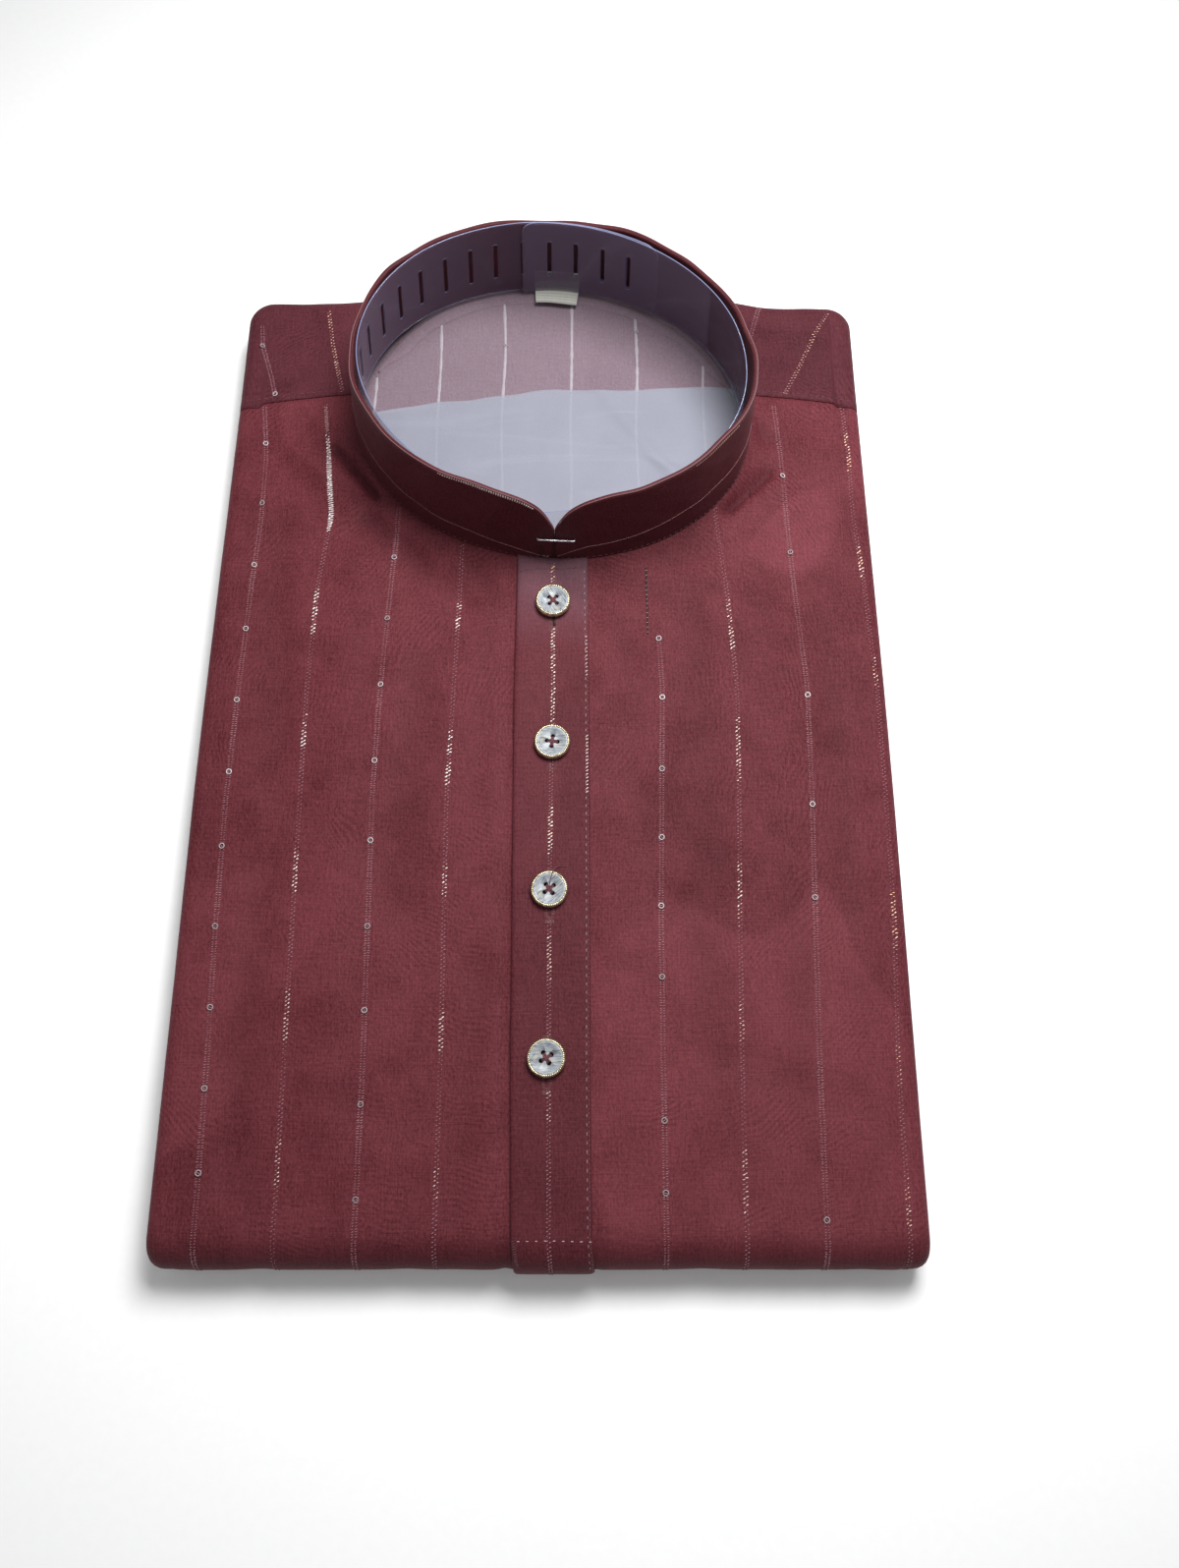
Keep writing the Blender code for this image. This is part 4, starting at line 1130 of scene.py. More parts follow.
@dataclass
class Front(WrappedCloth):
    """The front: from seam and neck down the face, round the bottom fold, along the underside."""

    down: int = 180
    fold: int = 22
    under: int = 56
    tucks: tuple[tuple[float, float], ...] = ((1.7, 1.15), (1.3, 0.95), (0.6, 0.75), (0.15, 0.4))
    # painted shade along the bottom fold, where the cloth rolls under away from the light
    painted_fold_shade: float = 0.55

    def __post_init__(self) -> None:
        """Works out the upper and the lower ends of the columns."""
        super().__post_init__()
        right, left = seam_angles()
        self.top_x, self.top_y = self.ends(np.linspace(left, right + FULL_TURN, self.neck + 1))
        self.flat = PACK.edge_fold - PACK.corner
        lo, hi = self.beside, self.beside + self.neck
        oval, low = self.top_x[lo:hi + 1], self.top_x.copy()
        low[lo:hi + 1] = np.linspace(oval.min() - 0.6, oval.max() + 1.4, self.neck + 1)
        low[:lo + 1] = np.linspace(-self.flat, low[lo], lo + 1)
        low[hi:] = np.linspace(low[hi], self.flat, len(low) - hi)
        self.low_x = low

    def beside_neck(self, x: Array, y: Array) -> Array:
        """Pushes columns that start behind the neck's widest parts outside them, each a little more.

        Args:
            x: places of a row's columns.
            y: the same along the pack.
        """
        number = np.arange(len(x))
        oval = slice(self.beside, self.beside + self.neck + 1)
        right_angle, left_angle = seam_angles()
        for way, start, end in ((1, -0.6, right_angle), (-1, math.pi + 0.6, left_angle)):
            flank_x, flank_y = NECK.ring(np.linspace(start, end, 120), NECK.lap)
            widest = int(np.argmax(way * flank_x))
            past = way * (number - self.beside - int(np.argmax(way * self.top_x[oval])))
            bound = way * np.interp(y, flank_y[widest:], flank_x[widest:]) + 0.08 * past
            x = np.where(past > 0, way * np.maximum(way * x, bound), x)
        return x

    def down_face(self) -> None:
        """Rows down the face: a few turned under at the seam, then closer near the neck."""
        number = np.arange(len(self.top_x))
        beside = np.where((number < self.beside) | (number > self.beside + self.neck), 1.0, 0.5)
        even = np.linspace(0, 1, self.down + 1)
        shares = 0.6 * even + 0.4 * even**2
        for s, back, dip in [(0.0, *tuck) for tuck in self.tucks] + [(s, 0.0, 0.0) for s in shares]:
            y = self.top_y + (PACK.fold_y - self.top_y) * s + back * beside
            x = self.beside_neck(self.top_x + (self.low_x - self.top_x) * s, y)
            y_side = PACK.seam_end_y + (PACK.fold_y - PACK.seam_end_y) * s + back
            sunk_in, sunk_out = [part[1:] for part in PACK.rim(sunk=dip)]
            x_side = PACK.side_edge(y_side) - sunk_in
            sides = [stack(side, y_side, upper_height(side, y_side, sunk_out, False) - dip * self.roll_share)
                     for side in (-x_side, x_side)]
            z = LIE.outer(x, y) + LIE.seam_relief(x, y, False) - dip
            self.add(stack(x, y, z), sides, self.flat, x, y, y_side)

    def round_fold(self) -> None:
        """Rows round the bottom fold: half circles whose radius runs from the face to the underside."""
        x_side = PACK.edge_fold - self.roll_in
        starts = [upper_height(x, PACK.fold_y, self.roll_out, False) - PACK.mid for x in (-x_side, x_side)]
        starts.append(LIE.outer(self.low_x, PACK.fold_y) - PACK.mid)
        side_end = self.roll_out - PACK.underside * self.roll_share
        ends = [side_end, side_end, PACK.mid - PACK.underside]
        for turn in np.linspace(0, math.pi, self.fold + 1)[1:-1]:
            left, right, face = [
                stack(x, PACK.fold_y - radius * math.sin(turn), PACK.mid + radius * math.cos(turn))
                for x, radius in zip((-x_side, x_side, self.low_x),
                                     [a + (b - a) * turn / math.pi for a, b in zip(starts, ends)])]
            left[:, 1] = right[:, 1]
            v = PACK.fold_y - PACK.mid * turn
            self.add(face, (left, right), self.flat, self.low_x, v, v)

    def along_underside(self) -> None:
        """Rows along the underside, whose far end turns up into the tail's rounded corners."""
        end_edge, end_y = float(PACK.side_edge(PACK.tail_y)), PACK.tail_y - PACK.corner
        narrowed = (end_edge - PACK.corner) / self.flat
        z_under = PACK.mid - self.roll_out + PACK.underside * self.roll_share
        start_v = PACK.fold_y - math.pi * PACK.mid
        for s in np.linspace(0, 1, self.under + 1):
            y = PACK.fold_y + (end_y - PACK.fold_y) * s
            x_side = PACK.edge_fold + (end_edge - PACK.edge_fold) * s - self.roll_in
            x = self.low_x * (1 + (narrowed - 1) * s)
            v = start_v - (y - PACK.fold_y)
            sides = [stack(way * x_side, y, z_under) for way in (-1, 1)]
            self.add(stack(x, y, PACK.underside), sides, self.flat, x, v, v)
        rings = np.arange(1, self.last + 1)
        for along in rings:
            x_side, y_side, out = roll_corner(self.rim, (end_edge - PACK.corner, end_y), along, rings)
            z_side = PACK.mid - out + PACK.underside * PACK.share(out)
            v = start_v - (end_y - PACK.fold_y) - self.arc[along]
            x = self.low_x * narrowed
            face = stack(x, PACK.tail_y - self.rim[0][along], z_under[along - 1])
            self.add(face, [stack(way * x_side, y_side, z_side) for way in (-1, 1)], self.flat, x, v, v)

    def cloth(self) -> bpy.types.Object:
        """The whole front, with its share of painted shade in the troughs and along the bottom fold."""
        self.down_face()
        self.round_fold()
        self.along_underside()
        points, uv = self.grids()
        x, y, z = np.moveaxis(points, -1, 0)
        # painted shade: trough depth on the upper face, and a band along the bottom fold
        painted_shade = np.where(z > PACK.mid, LIE.painted_shade(x, y), 0)
        painted_shade = np.maximum(painted_shade, self.painted_fold_shade * ramp((PACK.fold_y + 6 - y) / 12))
        return build("front_cloth", as_grid(points), FRONT_SILK, uv=uv, wall=self.wall, painted_shade=painted_shade)


@dataclass
class Yoke(WrappedCloth):
    """The yoke: from its tuck under the top edge, over the roll, to seam and back neck.

    The rolled part follows the rim's section, its corners by rings; the flat part runs down in
    even shares to the seam, where the cloth turns under.
    """

    flat_rows: int = 20
    folds: tuple[tuple[float, float], ...] = ((-0.12, -0.3), (0.25, -0.72), (1.6, -0.8))

    def __post_init__(self) -> None:
        """Works out the columns' ends on the seam and at the top edge."""
        super().__post_init__()
        right, left = seam_angles()
        self.x, self.start_y = self.ends(np.linspace(left, right, self.neck + 1))
        self.flat = float(PACK.side_edge(PACK.shoulder_y)) - PACK.corner
        self.top, self.tight = PACK.top_edge(self.x), PACK.tightness(self.x)

    def side(self, way: int, step: int, fold_y: float, fold_z: float) -> Array:
        """Points of one roll in a row.

        Args:
            way: -1 on the left, 1 on the right.
            step: the row, above 0 round the top roll, below it down the flat part.
            fold_y: how far the row is turned under, along the pack.
            fold_z: the same in height.
        """
        end = float(PACK.top_edge(way * self.flat)) - PACK.corner
        if step >= 0:
            x, y, out = roll_corner(self.rim, (self.flat, end), step, np.arange(1, self.last + 1))
        else:
            y = end + (PACK.seam_end_y - end) * (-step / self.flat_rows) + fold_y
            sunk_in, out = [part[1:] for part in PACK.rim(sunk=-fold_z)]
            x = PACK.side_edge(y) - sunk_in
        return stack(way * x, y, upper_height(way * x, y - fold_y, out, True) + fold_z * PACK.share(out))

    def row(self, step: int, fold_y: float = 0.0, fold_z: float = 0.0) -> None:
        """Adds one row, by its step and by how far it is turned under along the pack and down."""
        inset, distance = self.rim
        if step > PACK.flat_steps:
            y, out = self.top - inset[step] * self.tight, distance[step]
            v = self.top - PACK.corner + self.arc[step]
        else:
            corner_y = PACK.top_edge(np.copysign(self.flat, self.x)) - PACK.corner
            passed = (corner_y - PACK.seam_y) * (1 + min(step, 0) / self.flat_rows)
            passed = passed + (PACK.corner - inset[step] if step >= 0 else 0)
            share = np.clip(passed / (corner_y + PACK.corner - PACK.roll - PACK.seam_y), 0, 1)
            y = self.start_y + (self.top - PACK.roll * self.tight - self.start_y) * share + fold_y
            v, out = y, PACK.mid
        face = stack(self.x, y, upper_height(self.x, y - fold_y, np.asarray(out), True) + fold_z)
        sides = [self.side(way, step, fold_y, fold_z) for way in (-1, 1)]
        self.add(face, sides, self.flat, self.x, v, float(v.mean()))

    def cloth(self) -> bpy.types.Object:
        """The whole yoke."""
        for step in range(self.last, -self.flat_rows - 1, -1):
            self.row(step)
        for fold in self.folds:
            self.row(-self.flat_rows, *fold)
        points, uv = self.grids()
        return build("yoke_cloth", as_grid(points), YOKE_SILK_SHADED, uv=uv, wall=self.wall)


@dataclass
class FoldedLayers:
    """Edges of the folded sleeves, back and hem between the front's two rolls."""

    names: tuple[str, ...] = ("folded_back", "folded_sleeves", "folded_hem")
    centres: tuple[float, ...] = (9.05, 10.5, 11.95)
    insets: tuple[float, ...] = (3.9, 2.6, 3.3)
    half: float = 0.66
    reach: float = 26.0
    wall: float = 0.5
    stations: int = 220
    start_y: float = -160.0
    run: float = 1100.0

    def path(self, inset: Array) -> Pair:
        """Plan of a fold's edge: up the left side, round two corners, and down the right.

        Args:
            inset: distance inside the pack's edge at each station.

        Returns:
            X and Y of the stations.
        """
        edge, corner = float(PACK.side_edge(PACK.tail_y)), PACK.corner
        run_side, run_corner = PACK.tail_y - corner - self.start_y, math.pi / 2 * corner
        run_top = 2 * (edge - corner)
        marks = np.cumsum([0, run_side, run_corner, run_top, run_corner, run_side])
        s = np.linspace(0, 1, len(inset)) * marks[-1]
        turned = [np.clip((s - mark) / run_corner, 0, 1) * math.pi / 2 for mark in marks[[1, 3]]]
        heading = math.pi - turned[0] - turned[1]
        centre_x = np.clip(s - marks[2], 0, run_top) - (edge - corner)
        centre_y = self.start_y + np.clip(s, 0, run_side) - np.clip(s - marks[4], 0, run_side)
        spread = (PACK.side_edge(centre_y) - edge) * (np.abs(np.cos(heading)) > 0.99)
        reach, inward = np.maximum(corner - inset, 0.6), np.maximum(inset + 0.6 - corner, 0)
        x = centre_x + (reach + spread - inward * np.abs(np.cos(heading))) * np.cos(heading)
        return x, centre_y + (reach - inward * np.abs(np.sin(heading))) * np.sin(heading)

    def layer(self, number: int) -> bpy.types.Object:
        """One layer's folded edge: a half round nose with two faces running inwards."""
        s = np.linspace(0, 1, self.stations) * self.run
        wander = 0.5 * ripple(s, 0, 21 + number, 120, 9) + 0.16 * ripple(s, 0, 31 + number, 23, 9)
        turn = np.linspace(-math.pi / 2, math.pi / 2, 9)
        inwards = np.concatenate([[self.reach, 9], self.half * (1 - np.cos(turn)), [9, self.reach]])
        rise = np.concatenate([[-self.half] * 2, self.half * np.sin(turn), [self.half] * 2])
        columns = [self.path(self.insets[number] + wander + i) for i in inwards]
        x, y = [np.stack(part, axis=1) for part in zip(*columns)]
        slack = 1 - 0.012 * np.abs(ripple(s, 0, 41 + number, 60))[:, None]
        points = stack(x, y, self.centres[number] + rise * slack)
        across = lengths(np.column_stack([inwards, rise]))
        return build(self.names[number], as_grid(points), FOLDED_SILK, uv=pairs(across, s[:, None]),
                     wall=self.wall)


@dataclass
class PlacketStrip:
    """The buttoned strip down the middle of the front."""

    rise: float = 1.25
    wall: float = 0.45
    turn_under: float = math.radians(140)
    drift: float = 0.8
    top_gap: float = 0.2
    follows: float = 0.55
    middle_x: float = 3.0

    def point(self, share: Number, t: Number) -> Array:
        """A point of the strip's face, which follows the front only in part, but whole at the collar.

        Args:
            share: 0 at its left edge, 1 at its right one.
            t: millimetres up from the bottom fold, or down round it.
        """
        share, t = np.broadcast_arrays(np.asarray(share, float), np.asarray(t, float))
        y = PACK.fold_y + np.maximum(t, 0)
        turn = np.clip(-t / PACK.mid, 0, math.pi)
        x = PLACKET.edge(y, share) + self.drift * np.sin(turn)
        base, calm = LIE.front(x, t), LIE.front(np.full(t.shape, self.middle_x), t)
        height = calm[..., 2] + (base[..., 2] - calm[..., 2]) * self.follows + 0.12 * ripple(x, y, 12, 38)
        height = height + ramp((y - 44) / 14) * (base[..., 2] - height) - PACK.mid
        round_fold = np.hypot(base[..., 1] - PACK.fold_y, base[..., 2] - PACK.mid)
        out = np.where(t > 0, height, round_fold) + self.rise
        return stack(x, y - out * np.sin(turn), PACK.mid + out * np.cos(turn))

    def at(self, x: Array, y: Array) -> Array:
        """The strip's face at plan x and y."""
        return self.point(PLACKET.share(x, y), y - PACK.fold_y)

    def across(self, a: Array, t: Array) -> Array:
        """The strip's face, its first parameter in millimetres from the left edge."""
        return self.point(a / PLACKET.width, t)

    def top_t(self, share: Array) -> Array:
        """Distance along the strip of its upper end, under the collar's foot."""
        x, y = NECK.ring(np.radians(np.linspace(240, 300, 241)))
        return np.interp(PLACKET.edge(PLACKET.places[-1], share), x, y) - self.top_gap - PACK.fold_y

    def cloth(self) -> bpy.types.Object:
        """The strip's cloth: rounded side edges that turn down, square to the path."""
        edge, fall = np.array([0.012, 0, 0, 0.012, 0.03]), np.array([1.15, 0.85, 0.42, 0.16, 0.03])
        share = np.concatenate([edge, np.linspace(0.05, 0.95, 15), 1 - edge[::-1]])
        fall = np.concatenate([fall, np.zeros(15), fall[::-1]])
        down, under = np.linspace(1, 0, 190)[:, None], np.linspace(0, 1, 22)[1:, None]
        under = np.repeat(-under * self.turn_under * PACK.mid, len(share), axis=1)
        t = np.concatenate([down * self.top_t(share), under])
        turn = np.clip(-t / PACK.mid, 0, math.pi)
        points = self.point(share, t) - stack(0, -np.sin(turn), np.cos(turn)) * fall[:, None]
        return build("placket_cloth", as_grid(points), PLACKET_SILK, uv=pairs(share * PLACKET.width, t),
                     wall=self.wall)


@dataclass
class InnerBack:
    """Inside of the back under the neck, with the strip that binds the neck seam."""

    floor: float = 18.0
    climb: float = 4.3
    climb_reach: float = 26.0
    lap: float = 8.0
    back_lap: float = 0.6
    binding_inset: float = 2.3
    binding_width: float = 6.0
    wall: float = 0.85
    binding_wall: float = 0.35

    def height(self, x: Array, y: Array) -> Array:
        """Height of the inside: level in the middle, climbing to the back neck seam."""
        gap, back = NECK.polar(x, y)
        return self.floor + self.climb * ramp((back - 0.3) / 0.5) * ramp(1 + gap / self.climb_reach)

    def point(self, x: Array, y: Array) -> Array:
        """A point of the inside, with its soft swell."""
        gap, _ = NECK.polar(x, y)
        swell = 0.14 * (ripple(x, y, 5, 46) - 1) * ramp(-gap / 12) - 0.02
        return stack(x, y, self.height(x, y) + swell)

    def cloth(self) -> bpy.types.Object:
        """Rings from the middle out to an edge under the front and inside the back neck."""
        turn = np.linspace(0, FULL_TURN, 181)[:-1]
        share = np.linspace(0.02, 1, 46)[:, None]
        back = ramp((np.sin(turn) - 0.1) / 0.45)
        rim_x, rim_y = NECK.ring(turn, (self.lap - self.back_lap) * back - self.lap)
        centre_x, centre_y = NECK.centre
        points = self.point(centre_x + (rim_x - centre_x) * share, centre_y + (rim_y - centre_y) * share)
        faces = grid_faces(*points.shape[:2], round_columns=True)
        middle = self.point(*np.array(NECK.centre)[:, None])
        points = np.concatenate([points.reshape(-1, 3), middle])
        cap = fan(len(points) - 1, np.arange(len(turn)))
        return build("back_inside", (points, [faces, cap]), INSIDE_SILK, uv=points[:, :2], wall=self.wall)

    def binding(self) -> bpy.types.Object:
        """The neck strip: a flat tape with rounded edges along the back neck seam."""
        turn = np.radians(np.linspace(166, 22, 140))[:, None]
        place = np.array([0, 0.06, 0.2, 0.5, 0.8, 0.93, 1])
        rise = np.array([0.35, 0.42, 0.48, 0.44, 0.30, -0.02, -0.55])
        ends = ramp((turn[0] - turn) / 0.25) * ramp((turn - turn[-1]) / 0.25)
        width = (self.binding_width + 0.35 * ripple(turn * 70, 0, 9, 40)) * (0.25 + 0.75 * ends)
        inset = self.binding_inset + place * (width - 0.6)
        x, y = NECK.ring(turn, inset)
        puckers = 0.14 * np.sin(turn * 60 * (1 + 0.05 * np.sin(7 * turn)))
        points = stack(x, y, self.height(x, y) + rise * (1 + puckers))
        return build("neck_binding", as_grid(points, flipped=True), BINDING_SILK, uv=pairs(inset, turn * 70),
                     wall=self.binding_wall)


# ---- collar and its supports


@dataclass
class Collar:
    """The stand collar: folded cloth on the neck seam, open at a slit in front."""

    low: float = 18.0
    rise: float = 18.0
    rise_over: float = 5.6
    stations: int = 300
    half_wall: float = 0.9
    piping_radius: float = 0.22

    def __post_init__(self) -> None:
        """Works out running length round the seam."""
        self.angles = np.linspace(NECK.slit, NECK.slit + FULL_TURN, 2881)
        self.run = lengths(stack(*NECK.ring(self.angles), 0))
        self.whole = self.run[-1]

    def angle(self, along: Array) -> Array:
        """Angle of the oval, from running length counted from the slit."""
        return np.interp(along, self.run, self.angles)

    def along(self, degrees: Array) -> Array:
        """Running length from the slit, from degrees past the oval's long axis and a whole turn."""
        return np.interp(np.radians(degrees), self.angles + FULL_TURN, self.run)

    def height(self, along: Array) -> Array:
        """Height above the seam, from the rounded front ends to the higher back."""
        from_slit = np.maximum(np.minimum(along, self.whole - along) - NECK.slit_gap / 2, 0)
        front = self.low + self.rise * (1 - np.exp(-from_slit / self.rise_over))
        uneven = 0.35 * ripple(along, 0, 14, 60) * ramp(from_slit / 30)
        return front + NECK.back_rise * (1 + np.sin(self.angle(along))) / 2 + uneven

    def wobble(self, along: Array, up: Array) -> Array:
        """How far the wall leans out of true: soft vertical waves, most at the top."""
        turn = along / self.whole * FULL_TURN
        waves = 0.5 * np.sin(5 * turn + 0.7) + 0.35 * np.sin(9 * turn + 2.1) + 0.2 * np.sin(17 * turn)
        return waves * (up / NECK.height) ** 1.3 + 0.1 * ripple(along, up * 1.5, 19, 16)

    def point(self, along: Array, up: Array, inset: Number = 0.0) -> Array:
        """A point of the collar: millimetres round from the slit, up from the seam, and inwards."""
        along, up = np.broadcast_arrays(np.asarray(along, float), np.asarray(up, float))
        angle = self.angle(along)
        x, y = NECK.ring(angle, inset - self.wobble(along, np.maximum(up, 0)), up / NECK.height)
        return stack(x, y, LIE.outer(*NECK.ring(angle)) - 0.05 + up)

    def section(self, half: Array, height: Array) -> Pair:
        """Section of the wall at each station: inner face up, over the folded top, outer face down.

        Args:
            half: half the wall's thickness at each station.
            height: its height there.

        Returns:
            Heights and insets, a row for each point of the section.
        """
        straight, turn = np.linspace(0, 1, 24)[:-1, None], np.linspace(0, math.pi, 9)[:, None]
        side = (height - half) * straight
        up = np.concatenate([side, height - half + half * np.sin(turn), side[::-1]])
        inset = np.concatenate([half + 0 * side, half * np.cos(turn), 0 * side - half])
        return up, self.half_wall + inset

    def cloth(self) -> bpy.types.Object:
        """The wall, once round, with its two front ends closed."""
        close = np.radians([6.0, 30.0, 60.0, 90.0])
        start = NECK.slit_gap / 2 + self.half_wall * (1 - np.cos(close))
        near = np.concatenate([start, start[-1] + np.linspace(0, 1, 26)[1:] ** 1.4 * 26])
        far = np.linspace(near[-1], self.whole - near[-1], self.stations)[1:-1]
        along = np.concatenate([near, far, self.whole - near[::-1]])
        half = self.half_wall * np.ones_like(along)
        half[:len(close)] = self.half_wall * np.sin(close)
        half[-len(close):] = half[:len(close)][::-1]
        up, inset = self.section(half, self.height(along))
        points = self.point(along, up, inset)
        rows, columns = points.shape[:2]
        i = np.arange(rows // 2 - 1)
        cap = np.stack([i, i + 1, rows - 2 - i, rows - 1 - i], axis=1) * columns
        faces = [grid_faces(rows, columns), cap[:, ::-1], cap + columns - 1]
        v = np.cumsum(np.pad(np.hypot(*np.diff([up, inset], axis=1)), ((1, 0), (0, 0))), axis=0)
        return build("collar_cloth", (points, faces), COLLAR_SILK_SHADED, uv=pairs(along, v))

    def piping(self) -> bpy.types.Object:
        """A fine lighter cord let into the top edge, from one front end round to the other; its lighter
        colour is a painted highlight of the folded edge.
        """
        along = np.linspace(1.2, self.whole - 1.2, 420)
        threads = Threads("collar_piping_highlight", PIPING_HIGHLIGHT)
        threads.keep(tube(self.point(along, self.height(along) - 0.10, 0.42), self.piping_radius), 0.04, 0.5)
        return threads.piece()


@dataclass
class ClearBand:
    """The slotted clear plastic band that holds the collar up, with the tab that laps its start."""

    inset: float = 3.2
    lap_inset: float = 0.95
    start: float = math.radians(62.5)
    end: float = math.radians(466)
    foot: float = 25.5
    wall: float = 0.35
    corner: float = 5.0
    slots: tuple[float, ...] = (181, 171, 160.5, 150.7, 141.2, 131.6, 122.7, 114.4, 105.7, 97.5, 89.3, 80.8,
                                72.3, 457.5, 449.3, 440.8, 432.3)
    slot_z: tuple[float, float] = (34.5, 53.5)
    usual_height: float = 38.0
    top_places: tuple[float, ...] = (62, 106, 140, 170, 200, 230, 248, 262, 273, 285, 299, 319, 338, 360,
                                     385, 420, 466)
    top_z: tuple[float, ...] = (63.4, 64.6, 64.2, 63, 61, 57.2, 53.4, 49.2, 47, 49.8, 53.6, 54.9, 56.9, 59.3,
                                61.8, 63.6, 65.6)

    def columns(self) -> Array:
        """Angles of the grid's columns: even ones, and close ones beside each slot and end."""
        even = np.linspace(self.start, self.end, 241)
        close = np.radians([0.4, 1.2, 2.2, 3.2])
        edge = [self.start + close, self.end - close]
        for centre in np.radians(self.slots):
            speed = NECK.speed(centre)
            even = even[np.abs(even - centre) * speed > 1.8]
            edge += [centre + way * np.array([0.42, 0.74, 0.85, 1.5]) / speed for way in (-1, 1)]
        return np.sort(np.concatenate([even, *edge]))

    def rows(self, low: float, high: float) -> Array:
        """Shares of the height of the grid's rows, close ones at the slots' ends, low and high."""
        ends = [low, low + 0.004, low + 0.010, high - 0.010, high - 0.004, high]
        return np.sort(np.concatenate([np.linspace(0, low, 6)[:-1], ends,
                                       np.linspace(low + 0.03, high - 0.03, 12),
                                       np.linspace(high, 1, 8)[1:]]))[::-1]

    def point(self, angle: Array, z: Array) -> Array:
        """A point of the band's outer face."""
        lapped = ramp((angle - math.radians(350)) / math.radians(60))
        loose = 0.15 * np.sin(3 * angle + 0.4) + 0.096 * np.sin(7 * angle)
        x, y = NECK.ring(angle, self.inset + self.lap_inset * lapped + loose,
                         (z - PACK.height - NECK.rise) / NECK.height)
        return stack(x, y, z)

    def in_slot(self, angle: Array, into: Array) -> Array:
        """Whether places are in a slot, whose two ends are rounded in steps.

        Args:
            angle: angles of the places.
            into: distance from the slots' ends, above 0 between them.
        """
        limit = np.interp(into, [0, 0.001, 0.15, 0.16, 0.38, 0.39], [0, 0.42, 0.42, 0.74, 0.74, 0.85])
        found = np.zeros(len(angle), bool)
        for centre in np.radians(self.slots):
            found |= (np.abs(angle - centre) * NECK.speed(centre) < limit) & (into > 0)
        return found

    @staticmethod
    def haze_and_painted_light(angle: Array) -> Array:
        """How hazy the band is: most at the back on the left and where it laps, least in front; painted
        reflection, and painted shade over the label.
        """
        degrees, turned = np.degrees(angle), np.degrees(angle) % 360
        haze_and_painted_light = 0.55 + 0.5 * ramp((turned - 95) / 60) * ramp((225 - turned) / 30)
        haze_and_painted_light = haze_and_painted_light + 0.6 * (degrees > 400) + 0.45 * (degrees < 106)
        return haze_and_painted_light - 0.4 * ramp((turned - 225) / 20) * ramp((318 - turned) / 20)

    def sheet(self) -> bpy.types.Object:
        """The band: a grid with its slots left open, and rounded upper corners at its two ends."""
        angle = self.columns()
        low, high = [(z - self.foot) / self.usual_height for z in self.slot_z]
        share = self.rows(low, high)[:, None]
        near_end = np.minimum(angle - self.start, self.end - angle) * NECK.short_half
        into = np.clip(self.corner - near_end, 0, self.corner)
        drop = self.corner - np.sqrt(self.corner**2 - into**2)
        top = np.interp(np.degrees(angle), self.top_places, self.top_z)
        z = self.foot + (top - self.foot) * share - drop * share**3
        z = z + (0.8 * np.sin(2 * angle + 1) + 0.3) * (1 - share)
        faces = grid_faces(*z.shape)
        rows, columns = np.divmod(faces, z.shape[1])
        middle = share[rows, 0].mean(axis=1)
        into_slot = np.minimum(middle - low, high - middle) * self.usual_height
        whole = faces[~self.in_slot(angle[columns].mean(axis=1), into_slot)]
        # haziness with painted reflection round the band, and painted shade over the label
        piece = build("band_plastic", (self.point(np.broadcast_to(angle, z.shape), z), [whole]), BAND_CLEAR,
                      BAND_EDGE_HIGHLIGHT, wall=self.wall, haze_and_painted_light=np.broadcast_to(self.haze_and_painted_light(angle), z.shape))
        # the wall's cut edges take the painted highlight finish
        piece.modifiers["Wall"].material_offset_rim = 1
        return piece


@dataclass
class NeckLabel:
    """A blank folded ribbon: up behind the band, and out over the neck strip to a rounded nose."""

    inset: float = 2.45
    centre: float = math.radians(95.2)
    half_width: float = 9.2
    wall: float = 0.3
    section: tuple[tuple[float, float], ...] = (
        # inwards, height
        (0, 34.5), (0, 33), (0, 27.5), (0.35, 26), (1.2, 25.1), (2.6, 24.75), (4.2, 24.6), (5.6, 24.45),
        (6.5, 24.1), (6.8, 23.6), (6.5, 23.2), (5.4, 23.1), (3.6, 23.2), (2, 23.4),
    )

    def ribbon(self) -> bpy.types.Object:
        """The folded ribbon, its section swept across its width with a slight bow and twist."""
        inwards, height = np.array(self.section, float).T[..., None]
        share = np.concatenate([[-1, -0.985, -0.95], np.linspace(-0.88, 0.88, 17), [0.95, 0.985, 1]])
        angle = self.centre - share * self.half_width / NECK.long_half
        inset = self.inset + inwards + 0.25 * np.sin(2.2 * share + 0.5) * inwards / inwards.max()
        z = height + 0.25 * (1 - share**2) * (height < 26)
        x, y = NECK.ring(angle, inset, np.maximum(z - PACK.height - NECK.rise, 0) / NECK.height)
        run = lengths(np.column_stack([inwards, height]))
        return build("label_ribbon", as_grid(stack(x, y, z)), LABEL_TAPE,
                     uv=pairs(share * self.half_width, run[:, None]), wall=self.wall)


